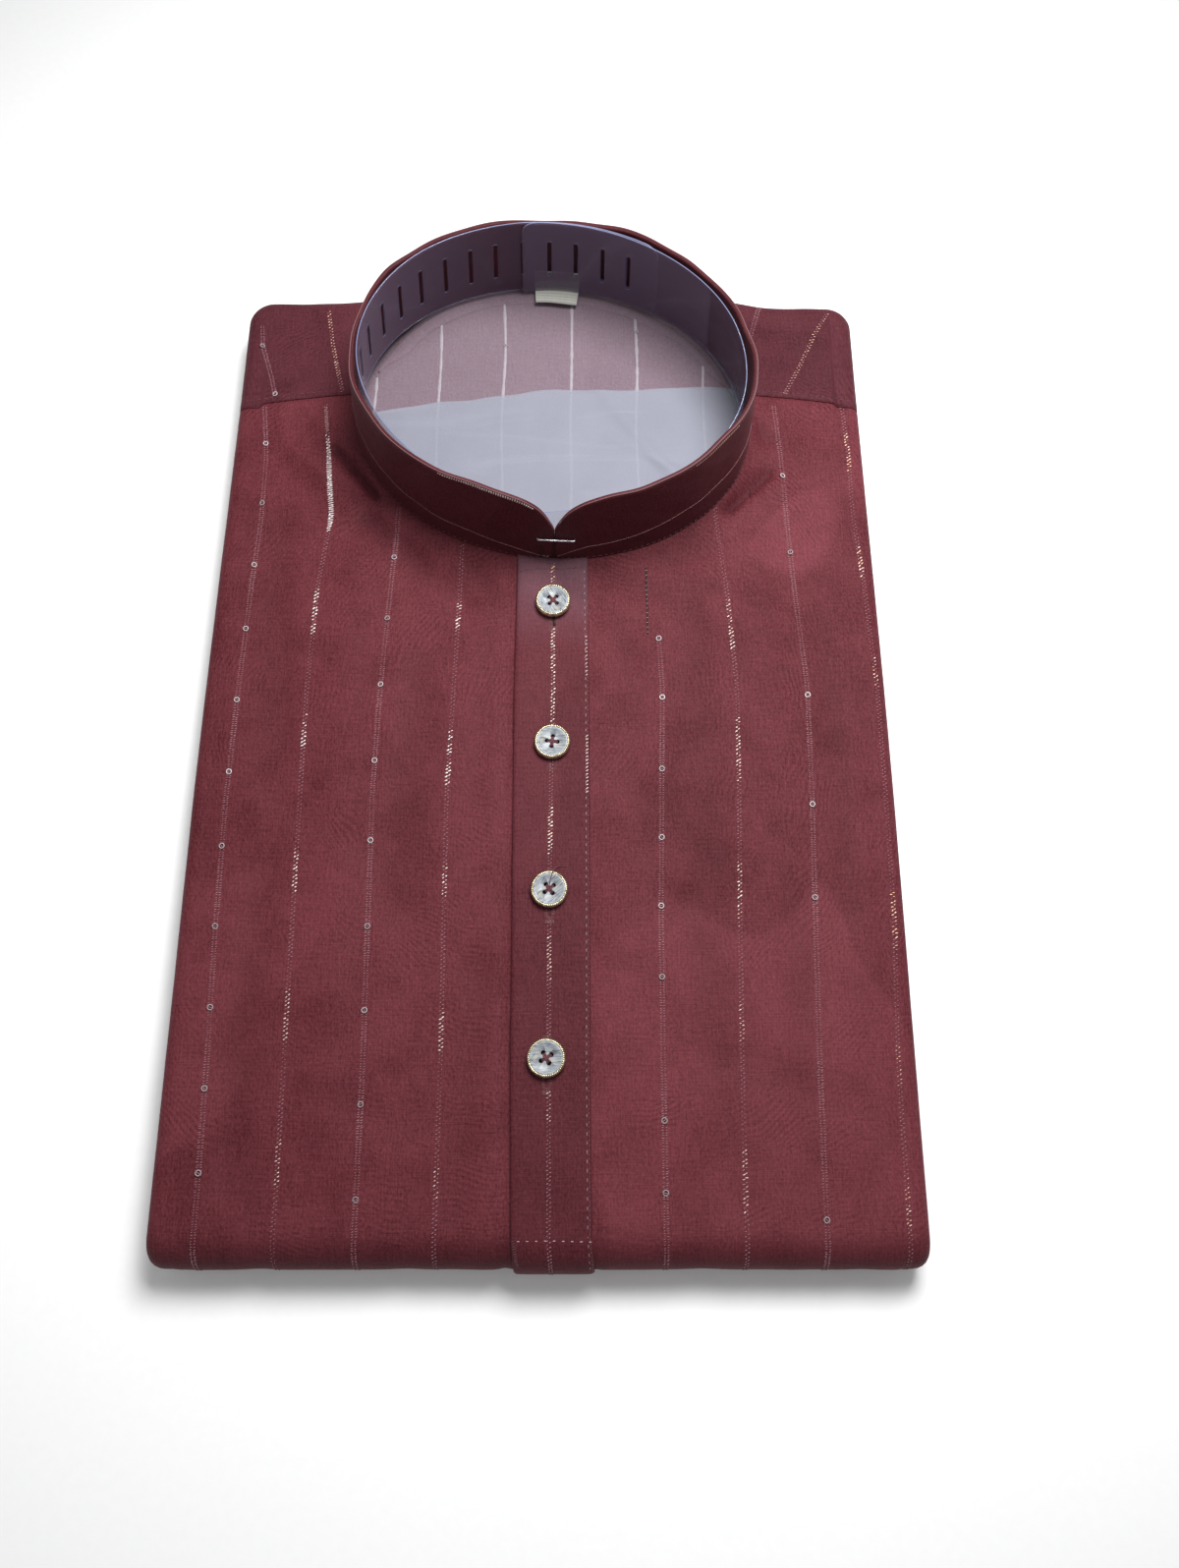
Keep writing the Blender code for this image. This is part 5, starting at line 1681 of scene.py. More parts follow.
@dataclass
class PackingSheet:
    """Milky packing film on the inside of the back, tucked under the front."""

    inner: InnerBack
    lift: float = 0.55
    lap: float = 5.0
    wall: float = 0.12
    left: float = -77.0
    right: float = 79.5
    edge_x: tuple[float, ...] = (-80, -69, -57, -43.6, -30, -7, 16, 50, 84)
    edge_y: tuple[float, ...] = (122.5, 126, 129, 131, 132, 136, 137, 137.6, 137.2)

    def height(self, x: Array, y: Array) -> Array:
        """Height of the film: a little above the cloth, in slack ripples and two slanting pleats."""
        slack = 0.2 * ripple(x, y * 0.5, 26, 34) + 0.03 * ripple(x, y, 27, 9)
        pleats = 0.9 * bell(((x - 44) * 0.80 + (y - 104) * 0.60) / 3) * ramp((x - 8) / 30)
        pleats = pleats + 0.5 * bell(((x - 20) * 0.5 + (y - 118) * 0.86) / 1.8) * ramp((x - 14) / 16)
        gap, _ = NECK.polar(x, y)
        calm = ramp(-(gap + 1) / 8)
        return self.inner.point(x, y)[..., 2] + self.lift + (0.35 + slack + pleats) * calm

    def sheet(self) -> bpy.types.Object:
        """Columns from the upper edge, which curls a little, down to the part under the front."""
        x = np.linspace(self.left, self.right, 150)
        low = np.interp(x, *NECK.ring(np.linspace(math.pi, FULL_TURN, 721), -self.lap))
        high = np.interp(x, self.edge_x, self.edge_y) + 0.35 * ripple(x, 0, 28, 22)
        share = np.linspace(0, 1, 70)[:, None] ** 0.9
        y = high + (low - high) * share
        points = stack(x, y, self.height(np.broadcast_to(x, y.shape), y) + 0.35 * np.exp(-share * 50))
        return build("film_sheet", as_grid(points), FILM_MILKY, wall=self.wall)


@dataclass
class Pin:
    """A steel pin through the collar's two front ends."""

    left: tuple[float, float, float] = (-2.7, 60.1, 37.6)
    right: tuple[float, float, float] = (10.8, 59.7, 37.2)
    radius: float = 0.38

    def wire(self) -> bpy.types.Object:
        """The pin's wire: straight in front of the cloth, its ends bent back into it."""
        a, b = np.array(self.left), np.array(self.right)
        back = np.array([[0, 1.3, -0.5], [0, 0.7, -0.25], [0.1, 0.2, 0]])
        middle = np.linspace(a + (0.4, 0, 0), b - (0.4, 0, 0), 9)
        path = np.concatenate([a + back, middle, (b + back * (-1, 1, 1))[::-1]])
        return build("pin_wire", tube(path, self.radius, sides=10), PIN_STEEL)


# ---- stitches, stripes and sequins


class Weave(Enum):
    """How a woven stripe is made: two columns of short slanting stitches beside its middle line."""

    # pitch, distance from the middle, half length, thickness, lean in degrees, stagger
    PALE = (0.84, 0.56, 0.46, 0.24, 14.0, 0.0)
    METAL = (1.4, 0.46, 0.42, 0.25, 30.0, 0.5)
    BEADS = (1.3, 0.42, 0.40, 0.28, 34.0, 0.5)

    def __init__(self, pitch: float, off: float, half: float, thick: float, lean: float,
                 stagger: float) -> None:
        """Names the numbers of a row."""
        self.pitch, self.off, self.half, self.thick = pitch, off, half, thick
        self.lean, self.stagger = math.radians(lean), stagger


class Threads:
    """Small shapes gathered into one piece, each with its own glint and warmth."""

    def __init__(self, name: str, finish: Finish) -> None:
        """Nothing is gathered yet."""
        self.name, self.finish = name, finish
        self.parts: list[Shape] = []
        self.looks: list[Array] = []

    def keep(self, shape: Shape, glint: Number = 0.0, warmth: Number = 0.0) -> None:
        """Keeps a shape that is already in place, with its glint and warmth."""
        self.parts.append(shape)
        self.looks.append(stack(glint, warmth, np.zeros(shape[0].size // 3)))

    def set(self, shape: Shape, at: Frames, size: Number, glint: Number, warmth: Number) -> None:
        """Sets one shape at many places.

        Args:
            shape: the shape, as across, along and out.
            at: the places.
            size: its scale, one number, or three a place.
            glint: how bright it is, from 0 to 1.
            warmth: 0 for silver to 1 for copper.
        """
        looks = [np.repeat(at.column(value), len(shape[0])) for value in (glint, warmth)]
        self.keep(repeated(shape, at, size), *looks)

    def ladder(self, line: Line, weave: Weave, bright: Callable[[Array], Array], warmth: float,
               seed: int) -> None:
        """Two columns of short slanting stitches along a path.

        Args:
            line: the path.
            weave: the stripe's make.
            bright: share of metal thread, from the path's second parameter.
            warmth: usual warmth of the metal.
            seed: seed of the small differences.
        """
        line, run = line.even(weave.pitch)
        at, share = line.frames(), bright(line.b)
        rng, count = np.random.default_rng(seed), len(run)
        uneven = 0.8 + 0.2 * np.sin(run / 6.5 + seed) * np.sin(run / 17 + 2 * seed)
        for side in (-1, 1):
            lit = share * np.where(rng.random(count) < 0.3, 0.06, rng.uniform(0.6, 1.3, count))
            places = at.moved(side * weave.off + rng.normal(0, 0.06, count),
                              side * weave.stagger * weave.pitch / 2 + rng.normal(0, 0.1, count),
                              0.05 + 0.08 * lit)
            places = places.turned(weave.lean + rng.normal(0, 0.2, count))
            half = weave.half * rng.uniform(0.8, 1.1, count) * (uneven + 0.3 * lit)
            thick = weave.thick * rng.uniform(0.8, 1.15, count) * (uneven + 0.45 * lit)
            glint = np.clip(lit + rng.uniform(0, 0.08, count), 0, 1)
            warm = np.clip(warmth + 0.5 * (1 - share) + rng.normal(0, 0.22, count), 0, 1)
            self.set(stitch_shape(), places, stack(half, thick, 0.8 * thick), glint, warm)

    def rungs(self, line: Line, half: float, glint: float, warmth: float, seed: int) -> None:
        """Stitches right across a path, close together, narrower at its two ends.

        Args:
            line: the path.
            half: half length of a stitch in the middle.
            glint: how bright the thread is.
            warmth: its warmth.
            seed: seed of the small differences.
        """
        line, run = line.even(0.86)
        rng, count = np.random.default_rng(seed), len(run)
        at = line.frames().moved(out=0.12).turned(rng.normal(0.05, 0.05, count))
        ends = 0.55 + 0.45 * ramp(run / 14) * ramp((run[-1] - run) / 5)
        size = stack(half * ends * rng.uniform(0.85, 1.08, count), rng.uniform(0.3, 0.38, count), 0.26)
        bright = glint * (0.35 + 0.65 * ramp(run / 22)) * rng.uniform(0.7, 1.1, count)
        self.set(stitch_shape(), at, size, np.clip(bright, 0, 1), warmth)

    def dashes(self, surface: Surface, path: Sequence[tuple[float, float]] | Array, pitch: float,
               long: float, thick: float, glint: float, seed: int, turn: float = math.pi / 2,
               out: float = 0.03) -> None:
        """A row of stitches along a path, each lying along it unless turned.

        Args:
            surface: the cloth they lie on.
            path: corners of the row, as the surface's parameters.
            pitch: distance between stitches.
            long: length of a stitch.
            thick: its thickness.
            glint: how bright it is.
            seed: seed of the small differences.
            turn: angle between a stitch and the line across the row.
            out: height over the cloth.
        """
        line, _ = Line(surface, *np.array(path, float).T).even(pitch)
        rng, count = np.random.default_rng(seed), len(line.a)
        at = line.frames().moved(out=out).turned(turn + rng.normal(0, 0.08, count))
        size = stack(rng.uniform(0.42, 0.54, count) * long, thick / 2, 0.42 * thick)
        self.set(stitch_shape(), at, size, glint + rng.uniform(0, 0.1, count), 0.3)

    def piece(self) -> bpy.types.Object:
        """The gathered mesh."""
        looks = np.concatenate(self.looks)
        return build(self.name, join(self.parts), self.finish, glint=looks[:, 0], warmth=looks[:, 1])


def lit(marks: Sequence[float], level: float = 1.0) -> Callable[[Array], Array]:
    """Share of metal along a stripe, from its bright lengths.

    Args:
        marks: the upper and lower y of each bright length in turn.
        level: the share in a bright length.

    Returns:
        The share as a function of the distance up from the bottom fold.
    """
    def share(t: Array) -> Array:
        """Each length has soft ends; the lower ones fade, and dashes follow past the fold."""
        y = t + PACK.fold_y
        total = np.zeros_like(y)
        for high, low in zip(marks[::2], marks[1::2]):
            total = np.maximum(total, ramp((high - y) / 1.5 + 0.5) * ramp((y - low) / 1.5 + 0.5))
        faded = total * (1 - 0.42 * ramp((-30 - y) / 90))
        dashed = (np.mod(20 - t, 52) < 14) & (t < 0)
        return np.where(dashed, 0.6, faded) * level

    return share


STRIPE_Y = (128, 105, 80, 50, 10, -30, -75, -120, -165)
STRIPE_TAIL = 330.0


@dataclass(frozen=True)
class Stripe:
    """One woven stripe: its x at the stripe places, its kind, and where it is bright or has sequins."""

    name: str
    weave: Weave
    x: tuple[float, ...]
    marks: tuple[float, ...]
    warmth: float = 0.5
    rungs: tuple[tuple[float, float, float, float], ...] = ()
    start: float = 130.0

    def at(self, y: Array) -> Line:
        """Its middle line on the front at these y."""
        return Line(LIE.front, np.interp(-y, np.negative(STRIPE_Y), self.x), y - PACK.fold_y)

    def whole(self) -> Line:
        """Its middle line down the face, round the fold and along the underside."""
        y = np.linspace(STRIPE_Y[0], PACK.fold_y, 60)
        face = self.at(y)
        gap, _ = NECK.polar(face.a, y)
        keep = (gap > 0.3) & (y < PACK.yoke_seam(face.a) - 0.4) & (y < self.start)
        under = np.linspace(0, -math.pi * PACK.mid - STRIPE_TAIL, 61)[1:]
        x = np.concatenate([face.a[keep], np.full(60, face.a[-1])])
        return Line(LIE.front, x, np.concatenate([face.b[keep], under]))

    def piece(self, seed: int) -> bpy.types.Object:
        """The stripe's stitches."""
        threads = Threads("stripe_" + self.name, STRIPE_THREAD)
        bright = lit(self.marks) if self.weave is Weave.METAL else np.zeros_like
        threads.ladder(self.whole(), self.weave, bright, self.warmth, seed)
        for high, low, glint, warmth in self.rungs:
            threads.rungs(self.at(np.linspace(high, low, 30)), 1.1, glint, warmth, 90 + seed)
        return threads.piece()


STRIPES = (
    Stripe("left_1", Weave.PALE, (-110.5, -107.9, -107.7, -109, -110.1, -110.7, -110, -108.6, -107.6),
           (111, 85, 59, 33, 5, -22, -49, -77, -104, -130, -156)),
    Stripe("left_2", Weave.METAL, (-86.5, -83.8, -81.1, -84.4, -85.5, -85, -84.2, -83.5, -82.8),
           (116, 73, 49, 29, 0, -13, -50, -66, -98, -115, -146, -160), 0.12,
           ((127, 116, 0.3, 1), (113, 73, 0.72, 0.1))),
    Stripe("left_3", Weave.PALE, (-55.6, -55.6, -55.7, -57.4, -59.1, -59.8, -58.8, -57.8, -57.5),
           (62, 37, 11, -18, -47, -77, -105, -135, -164)),
    Stripe("left_4", Weave.METAL, (-31, -31, -31, -31.7, -32.8, -33.8, -33.2, -32.5, -32.5),
           (44, 33, -6, -27, -56, -67, -105, -118, -153, -164), 0.15),
    Stripe("right_1", Weave.PALE, (37, 37, 37.3, 40.2, 42.2, 41.3, 40.2, 40.1, 40.1),
           (29, 6, -21, -46, -70, -94, -140, -162), start=31),
    Stripe("right_2", Weave.METAL, (63.2, 63.2, 63.2, 66.6, 69, 68.3, 66.9, 65.9, 65.3),
           (46, 25, -2, -25, -54, -77, -101, -115, -149, -168), 0.35),
    Stripe("right_3", Weave.PALE, (87.6, 89.2, 90.1, 91.6, 94.3, 93.7, 92.4, 91.1, 90.4),
           (96, 64, 7, -34, -67, -170)),
    Stripe("right_4", Weave.METAL, (114.2, 115.4, 115.3, 117.6, 119.4, 119.5, 119, 116.7, 116.2),
           (115, 99, 66, 54, 22, 10, -65, -84, -116, -129, -157, -173), 0.62),
)


@dataclass(frozen=True)
class YokeLength:
    """A short length of stripe that crosses the yoke."""

    path: tuple[tuple[float, float], ...]
    weave: Weave
    level: float = 0.0
    warmth: float = 0.5

    def bright(self, y: Array) -> Array:
        """Share of metal, more towards the shoulder."""
        return self.level * (0.25 + 0.75 * ramp((y - 136) / 12))


YOKE_LENGTHS = (
    YokeLength(((-114.6, 166), (-113.6, 156), (-109, 141.6), (-106.8, 132.6)), Weave.PALE),
    YokeLength(((-88.4, 172.5), (-85.5, 155), (-82.6, 143), (-80, 132.8)), Weave.METAL, 0.65, 0.8),
    YokeLength(((111.2, 171.4), (109.9, 169), (105, 160), (99.7, 148), (92.2, 133)), Weave.METAL, 0.5, 0.7),
    YokeLength(((84.2, 174.6), (83, 171), (80, 160), (78.6, 153)), Weave.PALE),
)


@dataclass
class Stripes:
    """Every woven stripe of the garment, with the sequins on the pale ones."""

    placket: PlacketStrip
    collar: Collar
    yoke_sequins: tuple[tuple[float, float], ...] = ((-113.6, 156), (-106.8, 133.4))
    placket_x: tuple[float, ...] = (2.6, 3, 2.6, 2.5, 2.8, 3.2)
    placket_marks: tuple[float, ...] = (56.5, 50.5, 33, -4, -35, -52, -79, -96, -128.5, -141)
    collar_line: tuple[tuple[float, float], ...] = (
        # degrees, height
        (278.5, 26.4), (282, 29.5), (287, 32), (299, 33.5), (318, 36.6), (339, 37.4), (350, 36.6), (395, 38),
        (450, 39), (500, 39), (564, 39), (579, 36.3), (601, 33.5), (614, 32.7), (625.5, 30), (631, 27.6),
        (636, 25.4),
    )
    collar_foot: float = 24.2
    collar_rungs: tuple[tuple[float, ...], ...] = (
        # first and last degrees, distance below the edge, glint, warmth
        (604, 632, 0.55, 0.8, 0.15), (320, 341, 0.9, 0.55, 0.9),
    )

    def sequins(self) -> bpy.types.Object:
        """Sequin rings on the pale stripes of the front, and two on the yoke."""
        threads, rng = Threads("sequins", SEQUIN_PEARL), np.random.default_rng(4)
        for stripe in STRIPES:
            if stripe.weave is Weave.PALE:
                self.rings(threads, stripe.at(np.array(stripe.marks, float)).frames(), rng)
        self.rings(threads, Line(LIE.yoke, *np.array(self.yoke_sequins).T).frames(), rng)
        return threads.piece()

    @staticmethod
    def rings(threads: Threads, at: Frames, rng: np.random.Generator) -> None:
        """Rings at some places, each a little tilted, with a thread down through it."""
        count = len(at.origin)
        tilt = rng.normal(0, 0.16, (count, 2))
        out = unit(at.out + at.across * tilt[:, :1] + at.along * tilt[:, 1:])
        across = unit(np.cross(at.along, out))
        flat = Frames(at.origin + at.out * 0.42, across, np.cross(out, across), out)
        near = 0.3 + ramp((at.origin[:, 1] + 150) / 130)
        threads.set(ring_shape(0.86, 0.21), flat, 1, near * rng.uniform(0.1, 0.6, count),
                    rng.uniform(0, 0.2, count))
        crossed = flat.turned(rng.uniform(0, 3, count)).moved(out=0.22)
        threads.set(stitch_shape(), crossed, np.array([1.25, 0.13, 0.13]), 0.1, 0.3)

    def yoke(self) -> bpy.types.Object:
        """Short lengths of stripe that cross the yoke on each side of the neck."""
        threads = Threads("stripe_yoke", STRIPE_THREAD)
        for seed, length in enumerate(YOKE_LENGTHS):
            line = Line(LIE.yoke, *np.array(length.path).T)
            threads.ladder(line, length.weave, length.bright, length.warmth, 40 + seed)
        return threads.piece()

    def down_placket(self) -> bpy.types.Object:
        """The placket's stripe between the buttons: two columns of beads that meet in a chevron."""
        threads = Threads("stripe_placket", STRIPE_THREAD)
        bright = lit(self.placket_marks, 0.9)
        for seed, (high, low) in enumerate(self.between_buttons()):
            y = np.linspace(high, low, 30)
            share = PLACKET.share(np.interp(-y, np.negative(STRIPE_Y[3:]), self.placket_x), y)
            line = Line(self.placket.across, PLACKET.width * share, y - PACK.fold_y)
            threads.ladder(line, Weave.BEADS, bright, 0.25 if seed else 0.8, 12 + seed)
        return threads.piece()

    @staticmethod
    def between_buttons() -> list[tuple[float, float]]:
        """Upper and lower y of the stripe's lengths, which the buttons and buttonholes part."""
        tops = [58.0] + [place.y - (10.2 if place.bartack else 6.6) for place in BUTTONS]
        ends = [place.y + 6.9 for place in BUTTONS] + [PACK.fold_y - 24]
        return list(zip(tops, ends))

    def along_collar(self) -> bpy.types.Object:
        """The dull line round the collar's outer face, and its two lengths of bright stitches.

        Those are silver hatching on the left of the top edge, and copper dashes on the right.
        """
        threads = Threads("stripe_collar", STRIPE_THREAD)
        degrees, height = np.array(self.collar_line).T
        along = np.clip(self.collar.along(degrees), 0.9, self.collar.whole - 0.9)
        line, _ = Line(self.collar.point, along, height - self.collar_foot).even(0.62)
        rng, count = np.random.default_rng(31), len(line.a)
        size = stack(0.3 * rng.uniform(0.8, 1.1, count), 0.17, 0.15)
        threads.set(stitch_shape(), line.frames().moved(out=0.03).turned(math.pi / 2), size,
                    rng.uniform(0, 0.2, count), 0.9)
        for first, last, below, glint, warmth in self.collar_rungs:
            along = self.collar.along(np.linspace(first, last, 12))
            line = Line(self.collar.point, along, self.collar.height(along) - below)
            threads.rungs(line, 0.62, glint, warmth, 77)
        return threads.piece()


@dataclass
class Stitching:
    """The visible sewing: rows of dashes, and the box and dots of the slit."""

    placket: PlacketStrip
    collar: Collar
    edge_y: tuple[float, ...] = (56, 9, -63, -128, -186)

    @staticmethod
    def edge(inset: float, places: Sequence[float]) -> list[tuple[float, float]]:
        """A row inside the placket's right edge, as plan points at these y."""
        return [(float(PLACKET.edge(y, 1)) - inset, y) for y in places]

    @staticmethod
    def seam(side: int) -> Array:
        """A row just above the yoke seam, from the neck to the side."""
        x = side * np.linspace(81, 118, 14) + (1.5 if side > 0 else 0)
        return np.column_stack([x, PACK.yoke_seam(x) + 2])

    def light(self) -> bpy.types.Object:
        """Light stitches: the placket's right edge, the top of its lower box, and two gilt lengths."""
        threads, on = Threads("stitches_light", PALE_THREAD), self.placket.at
        threads.dashes(on, self.edge(1.3, self.edge_y), 2.8, 1.15, 0.34, 0.05, 1)
        threads.dashes(on, [(-7.6, -176.1), (4, -175.9), (16.2, -176.2)], 2.8, 0.85, 0.42, 0.35, 2)
        threads.dashes(on, self.edge(0.9, (-8.4, -14, -21, -30)), 1.3, 1, 0.5, 0.75, 3, turn=0.6)
        threads.dashes(on, self.edge(0.9, (30, 22, 13)), 1.5, 0.9, 0.45, 0.5, 4, turn=0.6)
        return threads.piece()

    def dark(self) -> bpy.types.Object:
        """Stitches in the cloth's own colour: the placket, the yoke seam and the collar's foot."""
        threads, on = Threads("stitches_dark", SEWING_THREAD), self.placket.at
        threads.dashes(on, self.edge(0.6, self.edge_y), 1.4, 1.1, 0.3, 0, 5)
        threads.dashes(on, [(-7.9, -175.7), (-7, -185)], 0.8, 1.3, 0.32, 0, 6, turn=0.2)
        for seed, side in ((7, -1), (8, 1)):
            threads.dashes(LIE.yoke, self.seam(side), 2.4, 1.2, 0.26, 0, seed)
        foot = [(along, 1.1) for along in np.linspace(2, self.collar.whole - 2, 40)]
        threads.dashes(self.collar.point, foot, 2.3, 1.3, 0.26, 0, 9)
        return threads.piece()

    def slit(self) -> bpy.types.Object:
        """The collar's slit with its box, the rows at its foot, and two marks of the cloth below.

        Those marks are a notch under the first button, a dark thread standing for its shade, and a loose
        float with a few light ticks.
        """
        threads = Threads("stitches_slit", DARK_THREAD)
        self.box(threads)
        # painted shade: a short dark thread for the notch under the first button
        y = BUTTONS[0].y - np.array([6.2, 7.6, 9.2])
        threads.keep(tube(self.placket.at(np.array([3, 3.2, 3.3]), y) + (0, 0, 0.1), 0.45))
        arch = [(-10.2, 54.6), (-4, 55.9), (3.3, 55.6), (14.4, 56.2)]
        threads.dashes(self.placket.at, arch, 2.2, 1.6, 0.36, 0, 3)
        y = np.linspace(57, 31, 60)
        threads.keep(tube(LIE.front(37 + 0.012 * (57 - y), y - PACK.fold_y) + (0, 0, 0.08), 0.3))
        path = [(37, 57 - PACK.fold_y), (37.3, 31 - PACK.fold_y)]
        threads.dashes(LIE.front, path, 1.9, 0.6, 0.36, 0.3, 10, turn=0.5, out=0.34)
        self.foot(threads)
        return threads.piece()

    def box(self, threads: Threads) -> None:
        """The dark line between the collar's two ends, a thread standing for the shade in the slit, and the
        two sides of the box beside it.
        """
        end = self.collar.whole
        # the first row is the slit's painted shade; the other two are the box's sides
        for along, low, high, inset, radius in ((end, 0.4, 16, 0.15, 0.3), (end - 5, 0.8, 9.2, 0, 0.26),
                                                (end - 4.2, 0.8, 8.6, 0, 0.12)):
            threads.keep(tube(self.collar.point(along, np.linspace(low, high, 24), inset), radius))

    def foot(self, threads: Threads) -> None:
        """The foot of the box, and the two light rows on the collar above its seam."""
        point, end = self.collar.point, self.collar.whole
        threads.keep(tube(point(np.linspace(end - 5, end - 0.2, 12), 0.9), 0.24))
        threads.dashes(point, [(end - 4.6, 2.4), (end - 1, 2)], 1.5, 0.5, 0.4, 0.6, 13)
        threads.dashes(point, [(end - 12.5, 0.8), (end - 6.4, 0.6)], 2.4, 0.7, 0.4, 0.6, 14)


# ---- buttons


@dataclass(frozen=True)
class ButtonPlace:
    """One button: its node, where it is, how it is turned, and whether its buttonhole has a bar."""

    node: str
    x: float
    y: float
    turn: float
    bartack: bool = True


BUTTONS = (
    ButtonPlace("button_1", 2.75, 42.6, math.radians(4)),
    ButtonPlace("button_2", 2.95, -11.9, math.radians(38), bartack=False),
    ButtonPlace("button_3", 2.45, -64.8, math.radians(-8)),
    ButtonPlace("button_4", 2.05, -120.6, math.radians(-15)),
)


@dataclass
class Buttons:
    """Shell discs in gilt rims, sewn on by a cross of thread, and the buttonholes below them."""

    placket: PlacketStrip
    radius: float = 6.45
    hole_radius: float = 0.8
    hole_step: float = 1.32
    rest: float = 1.75
    teeth: int = 56
    hole_half: tuple[float, float] = (8.6, 1.15)
    loose_end: tuple[tuple[float, float, float], ...] = (
        # plan places, and height over the third button's back
        (2.5, -65.2, 2.1), (2.65, -63.4, 2.9), (2.8, -61.8, 2.7), (3.4, -59.8, 2.75), (4.1, -57.9, 2.3),
        (5.4, -56.7, 0.6), (7, -56.5, -0.3), (8.4, -56.7, -0.2),
    )

    def base_z(self, place: ButtonPlace) -> float:
        """Height of a button's back."""
        return float(LIE.outer(place.x, place.y)) + self.rest

    def disc(self) -> Shape:
        """The shell disc with four holes cut through it, standing on the plan's origin."""
        share = np.array([0, 0.20, 0.31, 0.70, 0.745, 0.81, 0.848, 0.848, 0.81, 0.69, 0])
        height = np.array([1.85, 1.85, 1.86, 1.92, 2.22, 2.26, 2.1, 1.2, 0.5, 0.2, 0.2])
        disc = build("disc_shape", lathe(self.radius * share, height, 72))
        points, faces = lathe(np.array([0, 1, 1, 0]) * self.hole_radius, np.array([4, 4, -2, -2]), 20)
        steps = (-self.hole_step, self.hole_step)
        cutter = build("hole_shape", join([(points + (x, y, 0), faces) for x in steps for y in steps]))
        modifier = disc.modifiers.new("Holes", "BOOLEAN")
        modifier.object, modifier.operation, modifier.solver = cutter, "DIFFERENCE", "EXACT"
        mesh = bpy.data.meshes.new_from_object(disc.evaluated_get(bpy.context.evaluated_depsgraph_get()))
        places = np.empty(len(mesh.vertices) * 3, np.float32)
        mesh.vertices.foreach_get("co", places)
        faces = [np.array([polygon.vertices[:]]) for polygon in mesh.polygons]
        for piece in (disc, cutter):
            bpy.data.objects.remove(piece)
        bpy.data.meshes.remove(mesh)
        return places.reshape(-1, 3) / MM, faces

    def rim(self) -> Shape:
        """The gilt rim: a ring whose outer shoulder is cut in fine teeth."""
        turn = np.linspace(0, FULL_TURN, self.teeth * 4, endpoint=False)[:, None]
        share = np.array([0.82, 0.845, 0.87, 0.90, 0.945, 0.98, 1, 1, 0.935, 0.83, 0.82])
        height = np.array([1.9, 2.3, 2.46, 2.5, 2.36, 2, 1.5, 0.9, 0.35, 0.12, 0.3])
        weight = np.array([0, 0, 0.2, 0.6, 1, 1, 0.9, 0.7, 0.2, 0, 0])
        cut = (0.5 + 0.5 * np.cos(self.teeth * turn)) * weight
        reach = self.radius * share - 0.2 * cut
        points = stack(reach * np.cos(turn), reach * np.sin(turn), height - 0.16 * cut)
        return points.reshape(-1, 3), [grid_faces(self.teeth * 4, len(share), True, True)[:, ::-1]]

    def placed(self, points: Array, place: ButtonPlace) -> Array:
        """Points of a button moved from the plan's origin to its place."""
        c, s = math.cos(place.turn), math.sin(place.turn)
        x = points[:, 0] * c - points[:, 1] * s + place.x
        y = points[:, 0] * s + points[:, 1] * c + place.y
        return stack(x, y, points[:, 2] + self.base_z(place))

    def pieces(self) -> list[list[bpy.types.Object]]:
        """Each button's shell and rim."""
        (disc, disc_faces), (rim, rim_faces) = self.disc(), self.rim()
        made = []
        for number, place in enumerate(BUTTONS, 1):
            pearl = PearlFinish(f"shell_{number}", place.turn * 3 + 0.9 * number)
            shell = build(f"shell_{number}", (self.placed(disc, place), disc_faces), pearl, uv=disc[:, :2])
            made.append([shell, build(f"rim_{number}", (self.placed(rim, place), rim_faces), RIM_GOLD)])
        return made

    def strands(self) -> list[Array]:
        """The strands of a sewn cross, two each way, standing on the plan's origin."""
        t, made = np.linspace(0, 1, 9)[:, None], []
        for number, way in enumerate((1, -1)):
            start = np.array([-1, -way]) * self.hole_step
            for strand in (-0.3, 0.3):
                plan = start - 2 * start * t + np.array([-way, 1]) / math.sqrt(2) * strand
                rise = 0.7 + 1.32 * np.sin(math.pi * t) ** 0.3 + 0.1 * number
                made.append(np.column_stack([plan, rise]))
        return made

    def sewing(self) -> bpy.types.Object:
        """The thread crosses in the holes, and the loose end on the third button."""
        threads = Threads("button_thread", HOLE_THREAD)
        for place in BUTTONS:
            for strand in self.strands():
                threads.keep(tube(self.placed(strand, place), 0.3))
        loose = np.array(self.loose_end) + (0, 0, self.base_z(BUTTONS[2]))
        threads.keep(tube(loose, 0.14, sides=5))
        return threads.piece()

    def buttonholes(self) -> bpy.types.Object:
        """A ring of close stitches for each buttonhole, and a bar below some."""
        threads = Threads("buttonholes", HOLE_THREAD)
        long, wide = self.hole_half
        turn = np.linspace(0, math.pi, 7)[1:-1]
        side = stack(wide, np.linspace(-1, 1, 22) * (long - wide), 0)
        end = stack(wide * np.cos(turn), long - wide + wide * np.sin(turn), 0)
        ring = np.concatenate([side, end, -side, -end])[:, :2]
        for number, place in enumerate(BUTTONS):
            path = ring + (place.x + 0.2, place.y - 1.2)
            threads.dashes(self.placket.at, path, 0.5, 1.25, 0.36, 0.02, 60 + number, turn=0)
            if place.bartack:
                bar = [(place.x - 1.3, place.y - 10.8), (place.x + 1.7, place.y - 10.8)]
                threads.dashes(self.placket.at, bar, 0.42, 1.5, 0.4, 0.05, 70 + number, turn=0)
        return threads.piece()


# ---- reverse of the stripes inside


